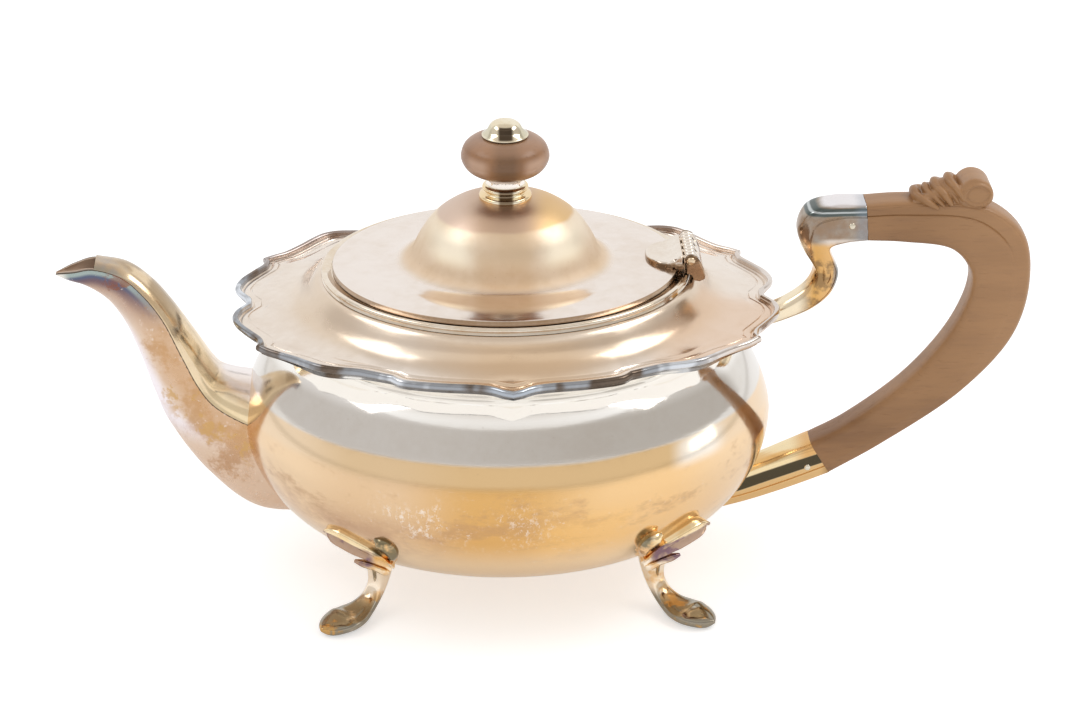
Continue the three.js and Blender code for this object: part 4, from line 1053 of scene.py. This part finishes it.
SEAM = [(52.0, 48.7), (65.3, 51.0), (76.6, 54.2), (86.6, 59.1), (91.8, 65.3), (96.6, 75.2), (101.4, 85.6),
        (106.8, 93.3), (113.2, 99.1), (121.4, 101.5), (127.6, 100.3), (133.0, 98.7)]
CREST = [(52.0, 62.2), (66.7, 63.6), (76.0, 64.6), (84.0, 66.7), (87.3, 69.6), (92.4, 77.8), (98.5, 87.3),
         (104.5, 95.2), (111.8, 101.1), (121.0, 103.4)]
KEEL = [(53.3, 20.2), (75.3, 21.2), (90.5, 33.6), (101.4, 49.6), (105.8, 60.9), (109.0, 71.4), (112.6, 81.3),
        (116.1, 87.7), (119.6, 91.6), (124.6, 94.8), (129.6, 96.5), (133.2, 98.0)]
SPOUT_HALF_WIDTH = [17.9, 16.0, 14.5, 11.8, 10.3, 9.1, 7.8, 6.8, 5.8, 4.8, 3.5, 0.8]
SPOUT_WALL, SEAM_GAP = 1.0, 0.02
RIDGE, RIDGE_WIDTH = 0.32, 0.55


def half_shell(far, roundness, rows):
    """Half a spout: seam plus reach sin a towards the far edge, and width cos a sideways, with an inner arc
    that is smaller by the wall and a small ridge beside the seam."""
    seam, edge_line = along(SEAM[:len(far)], rows), along(far, rows)
    width = along(SPOUT_HALF_WIDTH[:len(far)], rows)[:, 0]
    reach = np.linalg.norm(edge_line - seam, axis=1)
    way = (edge_line - seam) / reach[:, None]
    angle = np.linspace(0, np.pi, 49)
    ridge = RIDGE * bell(np.sin(angle) * reach[:, None], 0, RIDGE_WIDTH) * eased(width, 0.8, 3.5)[:, None]

    def curve(deep, wide, proud):
        out = SEAM_GAP + (deep - SEAM_GAP)[:, None] * bent(np.sin(angle), 2 / roundness)
        side = wide[:, None] * bent(np.cos(angle), 2 / roundness) + np.sign(np.cos(angle)) * proud
        return np.stack([-(seam[:, :1] + way[:, :1] * out), side, seam[:, 1:] + way[:, 1:] * out], -1)

    wall = np.minimum(SPOUT_WALL, np.minimum(reach * 0.4, width * 0.4))
    outer, inner = curve(reach, width, ridge), curve(reach - wall, width - wall, 0 * ridge)
    points = np.concatenate([outer, inner[:, ::-1]], 1)
    ends = [(row + row[:, ::-1]) / 2 for row in (points[:1], points[-1:])]
    return capped(points, np.concatenate(ends))


def read(items, field):
    """One field of a mesh's items as rows of three numbers."""
    values = np.zeros(len(items) * 3)
    items.foreach_get(field, values)
    return values.reshape(-1, 3)


def mark(half, samples=240):
    """Stores three numbers at each point: the distance to the seam in millimetres, the share of the way along
    it, and 1 where the surface faces towards the seam's line, which is inside the spout."""
    place, facing = read(half.data.vertices, "co"), read(half.data.vertex_normals, "vector")
    seam = along(SEAM, samples) * MM
    flat = place[:, [0, 2]] * [-1, 1] + [POT_MIDDLE * MM, 0]
    gap = np.linalg.norm(flat[:, None] - seam, axis=2)
    nearest = gap.argmin(1)
    drop = flat - seam[nearest]
    outwards = facing[:, 1] * place[:, 1] - facing[:, 0] * drop[:, 0] + facing[:, 2] * drop[:, 1]
    numbers = {"below_seam": gap.min(1) / MM, "run": nearest / (samples - 1), "inside": outwards < 0}
    for name, values in numbers.items():
        half.data.attributes.new(name, "FLOAT", "POINT").data.foreach_set("value", values.astype(np.float32))


lower_spout = built("spout_lower_half", half_shell(KEEL, 2.2, 150))
upper_spout = built("spout_upper_half", half_shell(CREST, 1.9, 120))
for half in (lower_spout, upper_spout):
    shaped(half, belly_cutter)
    mark(half)
piece(lower_spout, "pot", "spout_lower_half", spout_silver, 50)
piece(upper_spout, "pot", "spout_upper_half", upper_spout_silver, 50)

# %% [markdown]
# ## The handle
#
# The wooden handle is sawn from a board and shaped: flat sides, a rounded back with a scratched line beside
# it, and a softer edge where the fingers go. Inner and outer edges are two curves, and a section is
# stretched between them.

# %% Grip

GRIP_INNER = [(107.2, 106.4), (118, 105.7), (132.5, 103.0), (138.2, 96.2), (138.5, 89.5), (133.6, 77.0),
              (121.0, 60.6), (102.7, 45.9), (92.3, 40.2)]
GRIP_OUTER = [(106.4, 118.2), (118, 118.8), (142.1, 116.9), (154.0, 107.5), (156.72, 92.5), (152.8, 75.0),
              (138.5, 57.0), (114.0, 39.0), (98.6, 29.7)]
GRIP_HALF, GRIP_ROWS = 5.9, 150
SCRATCH_AT, EDGE_LINE_AT, SCRATCH_WIDTH = 0.42, 0.86, 0.030
HALF_SECTION = [(1.0, 0.0), (0.995, 0.38), (0.97, 0.66), (0.92, 0.82), (0.87, 0.89), (0.82, 0.915),
                (0.62, 0.95), (0.48, 0.975), (0.40, 0.995), (0.1, 1.0), (-0.5, 1.0), (-0.78, 0.97),
                (-0.92, 0.84), (-0.985, 0.55), (-1.0, 0.0)]


def moulded(line, softness):
    """Sections with a rounded back, a scratched line as deep as each row says, and a soft inner edge."""
    half = smooth(HALF_SECTION, 96)
    notch = bell(half[:, 0], SCRATCH_AT, SCRATCH_WIDTH) + 0.45 * bell(half[:, 0], EDGE_LINE_AT, SCRATCH_WIDTH)
    side = half[:, 1] - notch * line[:, None]
    side = side * (1 - softness[:, None] * np.abs(half[:, 0]) ** 3 * 0.10)
    first = np.stack([np.broadcast_to(half[:, 0], side.shape), side], -1)
    return np.concatenate([first, first[:, -2:0:-1] * [1, -1]], 1)


progress = np.linspace(0, 1, GRIP_ROWS)
grip_section = moulded(0.075 * (1 - eased(progress, 0.30, 0.42)), eased(progress, 0.3, 0.6))
grip_shape = bar(GRIP_INNER, GRIP_OUTER, np.full(GRIP_ROWS, GRIP_HALF), grip_section, GRIP_ROWS)
piece(built("grip", grip_shape), "pot", "handle_grip", handle_wood, 60)

# %% [markdown]
# The thumb scroll on top is carved: a volute like a rolled ribbon, and leaf folds that drape over the back
# of the handle. Each fold is a tube along a horseshoe path from one side over the top to the other. The
# shapes overlap, and a voxel skin joins them as if cut from one block.

# %% Tubes and pillows


def tube(path, radii, squash=1.0, columns=24):
    """A tube along a path: each ring lies across the path's tangent, with a radius per row."""
    tangent = np.gradient(path, axis=0)
    tangent /= np.linalg.norm(tangent, axis=1)[:, None]
    first = np.cross(tangent, [1.0, 0, 0.35])
    first /= np.linalg.norm(first, axis=1)[:, None]
    second = np.cross(tangent, first)
    angle = np.linspace(0, 2 * np.pi, columns, endpoint=False)[:, None]
    radii = radii[:, None, None]
    ring = first[:, None] * np.cos(angle) * radii + second[:, None] * np.sin(angle) * radii * squash
    return capped(path[:, None] + ring, path[[0, -1], None])


def fold(top, side, end, radius):
    """One leaf fold over the handle's back, the same on both sides and thinner towards its ends."""
    half = np.array([end, side, (top[0], 2.4, top[1] - 0.6)])
    path = [*(half * [1, -1, 1]), (top[0] - 0.3, 0, top[1]), *half[::-1]]
    share = np.linspace(-1, 1, 41)
    return tube(smooth(path, 41), radius * (0.35 + 0.65 * (1 - np.abs(share) ** 2.2)), 0.8)


def hoop(x, y, z, long, high, radius):
    """A thin ring on the volute's side face."""
    angle = np.linspace(0, 2 * np.pi, 49)
    path = np.stack([x + long * np.cos(angle), y + 0 * angle, z + high * np.sin(angle)], 1)
    return tube(path, np.full(49, radius), 1.0, 10)


def shrunk(outline, inset):
    """Rows of an outline, each moved towards its middle by one of the insets."""
    outline = np.asarray(outline, float)
    middle = outline.mean(0)
    away = outline - middle
    distance = np.linalg.norm(away, axis=1)
    return middle + away * ((distance - inset[:, None]) / distance)[..., None]


def pillow(outline, half, rounding, rows=24):
    """An outline in the XZ plane with a thickness: its rings shrink by a quarter circle towards each side."""
    side = np.linspace(-1, 1, rows)
    share = np.clip((np.abs(side) - 1 + rounding / half) / (rounding / half), 0, 1)
    ring = shrunk(outline, rounding * (1 - np.sqrt(1 - share ** 2)))
    return capped(np.stack(
        [ring[..., 0], np.broadcast_to(side[:, None] * half, ring.shape[:2]), ring[..., 1]], -1))


# %% [markdown]
# The scroll's parts are then a rolled volute with an eye and a thin hoop on each side, five folds, and a
# bed that fills the space beneath them.

# %% Thumb scroll

VOLUTE = [(133.2, 119.6), (133.4, 122.4), (134.8, 124.6), (137.4, 125.9), (140.2, 125.6), (142.6, 123.9),
          (143.8, 121.2), (143.4, 118.6), (141.4, 117.0), (137.6, 116.6), (134.6, 117.4), (133.2, 119.6)]
BED = [(119.5, 118.2), (124, 121.0), (130, 122.8), (136, 122.0), (138, 118.0), (128, 117.2), (119.5, 118.2)]
FOLDS = [
    ((131.3, 124.2), (132.9, 4.6, 122.6), (135.2, 5.7, 119.4), 1.9),
    ((127.4, 122.7), (129.3, 4.8, 121.0), (131.6, 5.8, 117.9), 1.95),
    ((121.4, 120.2), (124.0, 4.9, 119.0), (127.6, 5.8, 117.0), 1.9),
    ((129.4, 123.0), (131.2, 4.3, 121.6), (133.6, 5.5, 118.6), 1.3),
    ((124.6, 121.6), (126.8, 4.6, 119.8), (129.6, 5.6, 117.4), 1.4),
]
eye_angle = np.linspace(0, 2 * np.pi, 48, endpoint=False)
volute_eye = np.stack([139.0 + 3.4 * np.cos(eye_angle), 121.1 + 2.7 * np.sin(eye_angle)], 1)
scroll_shapes = [pillow(smooth(VOLUTE, 73)[:-1], 5.7, 1.1), pillow(volute_eye, 6.1, 0.6)]
scroll_shapes += [hoop(139.0, side, 121.1, 3.9, 3.15, 0.42) for side in (-5.85, 5.85)]
scroll_shapes += [fold(*numbers) for numbers in FOLDS]
scroll_shapes.append(pillow(smooth(BED, 40)[:-1], 4.9, 1.5))
scroll = built("thumb_scroll", *scroll_shapes)
cast(scroll, 0.24, 2)
piece(scroll, "pot", "handle_grip", handle_wood, 60)

# %% [markdown]
# ## The sockets
#
# Both ends of the wood sit in cast silver. The upper socket carries the handle's moulding on round a
# corner, then doubles back in an S to the pot's neck. The lower one is a plain tapering horn.

# %% Sockets

UPPER_INNER = [(107.2, 106.4), (100.5, 105.6), (96.3, 103.9), (97.6, 99.9), (99.3, 95.4), (97.4, 88.9),
               (92.0, 83.9), (84.0, 80.3), (70.7, 76.3)]
UPPER_OUTER = [(106.4, 118.2), (97.3, 118.3), (89.3, 115.9), (86.4, 110.0), (88.4, 103.0), (91.7, 97.5),
               (90.4, 92.5), (83.2, 86.6), (70.7, 82.0)]
UPPER_ROWS = 90
SOCKET_HALF, NECK_THINNER, HORN_THINNER = 6.0, 2.0, 1.1
RIB = [(88.2, 0, 104.6), (89.6, 0, 103.2), (92.6, 0, 101.0), (95.2, 0, 97.4)]
STRAND = [(92.2, 2.6, 102.4), (94.8, 3.2, 99.0), (95.4, 3.2, 94.6), (93.2, 2.4, 89.6)]
progress = np.linspace(0, 1, UPPER_ROWS)
socket_half = SOCKET_HALF - NECK_THINNER * eased(progress, 0.25, 0.55)
socket_section = moulded(0.10 * (1 - eased(progress, 0.28, 0.4)), eased(progress, 0.2, 0.45) * 4)
socket_shapes = [
    bar(UPPER_INNER, UPPER_OUTER, socket_half, socket_section, UPPER_ROWS),
    tube(smooth(RIB, 20), np.linspace(1.0, 3.3, 20), 0.8)]
for side in (-1, 1):
    strand = smooth(np.array(STRAND) * [1, side, 1], 24)
    socket_shapes.append(tube(strand, 1.5 - 1.1 * np.linspace(-1, 1, 24) ** 2))
upper_socket = built("upper_socket", *socket_shapes)
cast(upper_socket, 0.26, 1)
shaped(upper_socket, belly_cutter)
piece(upper_socket, "pot", "handle_upper_socket", socket_silver, 60)

LOWER_INNER = [(92.3, 40.2), (85.6, 37.3), (78.5, 34.2), (69.1, 30.4), (60.0, 28.0)]
LOWER_OUTER = [(98.6, 29.7), (91.1, 26.6), (83.2, 23.6), (73.8, 20.4), (61.5, 17.0)]
LOWER_ROWS = 60
progress = np.linspace(0, 1, LOWER_ROWS)
lower_section = moulded(0.08 * (1 - eased(progress, 0.8, 1)), np.full(LOWER_ROWS, 0.5))
lower_socket = built("lower_socket", bar(
    LOWER_INNER, LOWER_OUTER, SOCKET_HALF - HORN_THINNER * progress, lower_section, LOWER_ROWS))
shaped(lower_socket, belly_cutter)
piece(lower_socket, "pot", "handle_lower_socket", lower_silver, 60)

# %% [markdown]
# A rivet pins the wood in each socket. It is turned about Z like the finial, and then swapping the last two
# axes lays it across the handle.

# %% Rivets


def across(profile, columns, x, z):
    """A turned profile laid along Y about a place in the XZ plane."""
    points, quads = turned(profile, columns)
    return points[:, [0, 2, 1]] + [x, 0, z], quads


rivet_head = smooth([(0, 6.45), (0.6, 6.35), (1.0, 6.0), (0.95, 5.8)], 12)
rivet_profile = np.concatenate([rivet_head, rivet_head[::-1] * [1, -1]])
for end, x, z in (("upper", 102.2, 111.9), ("lower", 91.5, 32.5)):
    rivet = built(f"{end}_rivet", across(rivet_profile, 24, x, z))
    piece(rivet, "pot", f"handle_{end}_pin", bright_silver, 50)

# %% [markdown]
# ## The feet
#
# Each foot is one casting: a leg with a spoon-shaped toe, a knee, and a hollow leaf that spreads over the
# belly with a curled lobe on one side and a small one on the other. The leg is drawn along X and turned to
# its corner, the leaf is drawn where it lies, and both are mirrored to the other three corners.

# %% The leg

LEG_INNER = [(24.7, 2.0), (22.7, 0.4), (18.8, 0.05), (12.8, 0.15), (7.7, 1.2), (3.0, 4.0), (-0.7, 8.3),
             (-3.2, 13.9), (-4.4, 19.0)]
LEG_OUTER = [(24.7, 3.0), (23.0, 3.7), (19.3, 4.5), (14.1, 5.0), (9.9, 5.5), (6.4, 7.3), (4.4, 10.5),
             (4.7, 15.0), (6.7, 19.8)]
LEG_HALF = [0.4, 4.0, 5.9, 5.6, 4.0, 3.0, 2.9, 3.4, 3.6]
LEG_ROWS, LEG_COLUMNS, LEG_ROUNDNESS = 60, 32, 2.3


def leg_shape():
    """The leg: a bar whose section is a superellipse, with a small step across the instep."""
    angle = (np.arange(LEG_COLUMNS) + 0.5) / LEG_COLUMNS * 2 * np.pi
    oval = bent(np.stack([np.cos(angle), np.sin(angle)], -1), 2 / LEG_ROUNDNESS)
    section = np.broadcast_to(oval, (LEG_ROWS, LEG_COLUMNS, 2)).copy()
    instep = bell(np.linspace(0, 1, LEG_ROWS), 0.30, 0.035)[:, None]
    section[..., 0] += instep * 0.22 * np.maximum(section[..., 0], 0)
    return bar(LEG_INNER, LEG_OUTER, along(LEG_HALF, LEG_ROWS)[:, 0], section, LEG_ROWS)


leg = leg_shape()
print(f"leg: {len(leg[0])} points")

# %% [markdown]
# The leaf is a thin casting between an upper and a lower edge, and one section with a raised rim is carried
# along it. The curl is made in the same way, and the small lobe is a tube.

# %% The leaf and its lobes

TONGUE_UPPER = [(36.0, 48.6, 24.6), (38.4, 50.5, 28.5), (41.2, 51.4, 31.3), (44.7, 50.8, 33.3),
                (48.2, 49.6, 35.0), (51.8, 47.8, 36.3), (54.5, 45.1, 36.0), (56.0, 42.6, 34.0),
                (56.2, 41.6, 32.4)]
TONGUE_LOWER = [(37.2, 48.0, 22.0), (39.1, 47.8, 23.4), (42.0, 48.0, 24.8), (45.5, 47.6, 26.3),
                (48.8, 46.8, 27.5), (51.9, 45.5, 28.8), (54.6, 43.5, 29.7), (55.9, 41.9, 30.9),
                (56.2, 41.4, 32.0)]
TONGUE_SECTION = np.array([
    (0.0, 0.2), (0.03, 1.0), (0.08, 1.5), (0.13, 1.3), (0.17, 0.85), (0.21, 1.1), (0.27, 1.35), (0.33, 1.0),
    (0.39, 0.1), (0.5, -0.4), (0.66, -0.6), (0.82, -0.5), (0.93, -0.15), (0.99, 0.1), (1.02, -0.4),
    (1.0, -1.2), (0.9, -1.9), (0.7, -2.4), (0.4, -2.8), (0.1, -2.8), (-0.05, -1.8), (-0.03, -0.5)])
CURL_OUTER = [(36.6, 50.2, 26.0), (35.3, 52.8, 29.2), (35.0, 55.6, 32.4), (36.2, 56.9, 35.2),
              (38.2, 56.8, 36.7), (40.4, 55.8, 37.2), (41.9, 54.9, 36.7)]
CURL_INNER = [(37.4, 49.0, 24.5), (36.6, 51.6, 28.6), (38.0, 52.6, 31.0), (39.6, 53.3, 32.8),
              (40.9, 53.7, 34.3), (41.6, 54.2, 35.6), (42.0, 54.7, 36.6)]
CURL_SECTION = np.array([
    (0.0, 0.1), (0.06, 0.9), (0.2, 1.7), (0.4, 2.2), (0.62, 2.1), (0.82, 1.4), (0.95, 0.7), (1.0, 0.0),
    (0.9, -1.5), (0.5, -2.2), (0.15, -1.6)])
LEG_TURN, LEG_X, LEG_Y = 43, 40.3, 30.5
LEG_SHIFT, LEAF_SHIFT = 1.8, 1.7
SMALL_LOBE = [(38.2, 45.8, 20.8), (39.4, 46.4, 21.7), (42.5, 46.5, 23.2), (45.6, 46.0, 24.1),
              (48.0, 45.4, 24.6)]


def leaf(upper, lower, section, rows):
    """A cast leaf between two edge curves. Each section point is a share of the way across and a height off
    the face, and the heights shrink where the leaf narrows to its tip."""
    first, second = smooth(upper, rows), smooth(lower, rows)
    way = second - first
    face = np.cross(np.gradient((first + second) / 2, axis=0), way)
    face /= np.linalg.norm(face, axis=1, keepdims=True)
    room = np.clip(np.linalg.norm(way, axis=1) / 4.0, 0.35, 1)[:, None, None]
    return capped(first[:, None] + way[:, None] * section[:, :1] + face[:, None] * section[:, 1:] * room)


leaf_shapes = [
    leaf(TONGUE_UPPER, TONGUE_LOWER, TONGUE_SECTION, 48), leaf(CURL_OUTER, CURL_INNER, CURL_SECTION, 36),
    tube(smooth(SMALL_LOBE, 26), along([1.3, 1.4, 1.25, 1.2, 0.5], 26)[:, 0], 0.9)]
for end, along_x in (("handle", 1), ("spout", -1)):
    for depth, along_y in (("front", -1), ("back", 1)):
        corner = (along_x, along_y, 1)
        shapes = [moved(leg, LEG_TURN, (LEG_X + along_x * LEG_SHIFT, LEG_Y, 0), corner)]
        shapes += [moved(shape, 0, (along_x * LEAF_SHIFT, 0, 0), corner) for shape in leaf_shapes]
        name = f"foot_{end}_{depth}"
        foot = built(name, *shapes)
        cast(foot, 0.22, 1)
        shaped(foot, belly_cutter)
        piece(foot, "pot", name, foot_silver, 60)
bpy.data.objects.remove(belly_cutter)

# %% [markdown]
# ## The hinge
#
# A plate with a lobed end lies on the lid and a small bracket stands on the shoulder, and their knuckles
# share a pin. The knuckles are turned rings along the pin, joined to their plates by a voxel skin.

# %% Knuckles

HINGE_X, HINGE_Z = 54.3, 103.4
HINGE_LONG, KNUCKLES = 20.0, 9
KNUCKLE = HINGE_LONG / KNUCKLES
BARREL, KNUCKLE_GAP, TAB_GAP = 1.7, 0.07, 0.14


def rod(y_from, y_to, radius, rounding=0.3):
    """A rod along the hinge's axis with rounded edges."""
    profile = np.array([
        (0, y_from), (radius - rounding, y_from), (radius, y_from + rounding), (radius, y_to - rounding),
        (radius - rounding, y_to), (0, y_to)])
    return across(profile, 32, HINGE_X, HINGE_Z)


def knuckle_middles(first):
    """Where the knuckles of one half of the hinge have their middles: every second one from the first."""
    return [-HINGE_LONG / 2 + (number + 0.5) * KNUCKLE for number in range(first, KNUCKLES, 2)]


def knuckle_rods(first):
    reach = KNUCKLE / 2 - KNUCKLE_GAP
    return [rod(middle - reach, middle + reach, BARREL) for middle in knuckle_middles(first)]


print(f"hinge: {KNUCKLES} knuckles of {KNUCKLE:.2f} mm")

# %% [markdown]
# The leaf on the lid is a slab with a lobed outline, and its root rises to the pin. The bracket on the
# shoulder has two cheeks and a back, and a small web or tab joins every knuckle to its half.

# %% Hinge

LEAF_ROOT = [(52.25, 100.6), (52.3, 103.8), (51.9, 104.35), (50.9, 104.1), (49.4, 103.1), (47.9, 102.4),
             (47.0, 102.0), (46.6, 100.6)]
CHEEK = [(53.1, 102.6), (53.1, 99.3), (54.6, 98.6), (55.3, 97.0), (57.0, 96.7), (58.5, 97.4), (58.7, 98.4),
         (58.2, 100.6), (57.3, 102.8), (56.2, 104.4), (55.0, 104.9), (54.0, 104.2)]
BACK = [(56.6, 102.4), (56.7, 98.0), (55.4, 97.0), (57.0, 96.7), (58.4, 97.4), (58.6, 98.4), (58.0, 100.6),
        (57.3, 102.2)]
WEB = [(54.3, 104.6), (54.6, 101.6), (57.4, 100.4), (57.4, 102.0), (56.0, 103.9)]
leaf_side = smooth([
    (52.2, 9.0), (50.7, 9.2), (49.9, 8.9), (49.5, 8.1), (49.0, 8.5), (47.6, 8.6), (45.8, 8.0), (44.0, 6.6),
    (42.6, 4.8), (41.7, 2.6), (41.45, 0.7)], 60)


def slab(outline, z_from, z_to, rounding):
    """A plan outline given a thickness upwards, with rounded upper edges."""
    turn = np.linspace(0, np.pi / 2, 6)
    ring = shrunk(outline, np.concatenate([[0], rounding * (1 - np.cos(turn))]))
    height = np.concatenate([[z_from], z_to - rounding + rounding * np.sin(turn)])
    return capped(np.concatenate([ring, np.broadcast_to(height[:, None, None], (*ring.shape[:2], 1))], -1))


leaf_outline = np.concatenate([leaf_side, leaf_side[::-1] * [1, -1]])
plate_shapes = [slab(leaf_outline, 100.4, 102.3, 0.8), pillow(LEAF_ROOT, 8.8, 0.5)]
plate_shapes += knuckle_rods(1)
for middle in knuckle_middles(1):
    y_low, y_high = middle - KNUCKLE / 2 + TAB_GAP, middle + KNUCKLE / 2 - TAB_GAP
    tab = [(51.6, y_low), (54.0, y_low), (54.0, y_high), (51.6, y_high)]
    plate_shapes.append(slab(tab, 101.6, 103.6, 0.3))
bracket_shapes = knuckle_rods(0)
bracket_shapes += [moved(pillow(CHEEK, 1.0, 0.35), 0, (0, side, 0)) for side in (-9.0, 9.0)]
bracket_shapes.append(pillow(BACK, 9.6, 0.3))
bracket_shapes += [moved(pillow(WEB, KNUCKLE / 2 - TAB_GAP, 0.2), 0, (0, y, 0)) for y in knuckle_middles(0)]
for node, body, shapes in (("hinge_leaf", "lid", plate_shapes), ("hinge_bracket", "pot", bracket_shapes)):
    half = built(node, *shapes)
    cast(half, 0.12, 1)
    piece(half, body, node, hinge_silver, 50)
pin_heads = [rod(side * 10.6 - 0.5, side * 10.6 + 0.5, 1.3, 0.45) for side in (-1, 1)]
pin = built("hinge_pin", rod(-10.0, 10.0, 0.75), *pin_heads)
piece(pin, "pot", "hinge_pin", cast_silver, 50)

# %% [markdown]
# ## The studio
#
# Silver shows the room, so the room decides its look. The floor and the background are white to the camera.
# The mirror sees a white room with a grey strip of wall behind the camera, which gives the belly its band,
# and with a dimmer ceiling and a bright window on the handle's side. Two soft lamps hang left and right of
# the pot.

# %% World

WHITE = (1.0, 1.0, 1.0, 1.0)


def build_world():
    """White to the camera, even light on dull surfaces, and a banded room in the mirror."""
    world = bpy.data.worlds.new("studio")
    bpy.context.scene.world = world
    world.use_nodes = True
    net = Net(world.node_tree)
    x, y, z = net.axes(net.add("ShaderNodeTexCoord", output=0))
    camera_ray, glossy_ray = net.outputs("ShaderNodeLightPath", "Is Camera Ray", "Is Glossy Ray")
    wall = (z + y * 0.15).between(0.115, 0.125) * z.between(0.70, 0.675) * y.between(0.55, 0.40)
    window = x.between(0.955, 0.975) * z.band(-0.03, 0.0, 0.09, 0.12) * y.between(0.05, 0.0)
    room = net.mix(z.between(0.68, 0.95), WHITE, (0.74, 0.70, 0.66, 1.0))
    grey = net.mix(x.between(-0.8, 0.8), (0.72, 0.70, 0.69, 1.0), (0.60, 0.575, 0.55, 1.0))
    room = net.mix(wall, room, grey)
    room = net.mix(z.band(-0.075, -0.045, -0.025, 0.0) * 0.35, room, (0.5, 0.48, 0.46, 1.0))
    room = net.mix(window, room, (2.0, 1.95, 1.85, 1.0))
    lit = net.mix(glossy_ray, (0.80, 0.80, 0.81, 1.0), room)
    lit = net.mix(camera_ray, lit, WHITE)
    background = net.add("ShaderNodeBackground", {}, {"Color": lit, "Strength": 1.0})
    net.add("ShaderNodeOutputWorld", {}, {"Surface": background})
    print(f"world: {len(world.node_tree.nodes)} nodes")


build_world()

# %% [markdown]
# The floor is a plain sheet, and a lamp is a bright rectangle that faces the pot. Lamps and camera stand in
# metres.

# %% Floor and lamps

FLOOR_SIZE, FLOOR_Z = 900.0, -0.05
LAMP_X, LAMP_Y, LAMP_Z = 0.72, -0.04, 0.88
LAMP_WIDE, LAMP_HIGH = 0.62, 0.38
LAMP_AIM = (0, 0, 0.09)


def build_floor():
    """A pale floor that glows a little to the camera and in mirrors, so that only the shadow tints it."""
    plan = ((-1, -1), (1, -1), (1, 1), (-1, 1))
    corners = np.array([(x * FLOOR_SIZE, y * FLOOR_SIZE, FLOOR_Z) for x, y in plan])
    mesh = bpy.data.meshes.new("floor")
    mesh.from_pydata((corners * MM).tolist(), [], [(0, 1, 2, 3)])
    material = bpy.data.materials.new("pale floor")
    material.use_nodes = True
    net = Net(material.node_tree)
    camera_ray, glossy_ray = net.outputs("ShaderNodeLightPath", "Is Camera Ray", "Is Glossy Ray")
    seen = camera_ray * 0.5 + glossy_ray * 0.28
    dull = net.add("ShaderNodeBsdfDiffuse", {}, {"Color": (0.80, 0.80, 0.80, 1)})
    glow = net.add("ShaderNodeEmission", {}, {"Color": WHITE, "Strength": seen})
    both = net.add("ShaderNodeAddShader", {}, {0: dull, 1: glow})
    net.add("ShaderNodeOutputMaterial", {}, {"Surface": both})
    mesh.materials.append(material)
    new_object("floor", mesh)


def facing(thing, place, target):
    """Puts a lamp or camera at a place, with its front, which is -Z, towards a target."""
    thing.location = place
    bpy.context.scene.collection.objects.link(thing)
    thing.rotation_euler = (Vector(target) - thing.location).to_track_quat("-Z", "Y").to_euler()


build_floor()
for side, sign, power in (("left", -1, 1.3), ("right", 1, 2.2)):
    light = bpy.data.lights.new(f"{side} softbox", "AREA")
    light.shape, light.size, light.size_y, light.energy = "RECTANGLE", LAMP_WIDE, LAMP_HIGH, power
    facing(bpy.data.objects.new(f"{side} softbox", light), (sign * LAMP_X, LAMP_Y, LAMP_Z), LAMP_AIM)
    print(f"{side} softbox: {power} W")

# %% [markdown]
# ## The camera
#
# A long lens far away keeps the oval lid nearly as flat as a drawing. The camera looks 25 degrees down and
# stands a little to the spout's side.

# %% Camera and colour

CAMERA_PLACE, CAMERA_AIM = (-0.03967, -0.92497, 0.49909), (-0.00156, -0.00042, 0.0676)
camera_data = bpy.data.cameras.new("camera")
camera_data.lens, camera_data.sensor_width = 113.07, 36.0
camera_data.clip_start, camera_data.clip_end = 0.05, 20.0
camera = bpy.data.objects.new("camera", camera_data)
facing(camera, CAMERA_PLACE, CAMERA_AIM)
bpy.context.scene.camera = camera
bpy.context.scene.view_settings.view_transform = "Standard"
print(f"camera: {camera_data.lens:.1f} mm lens, {camera.location.length:.2f} m away")
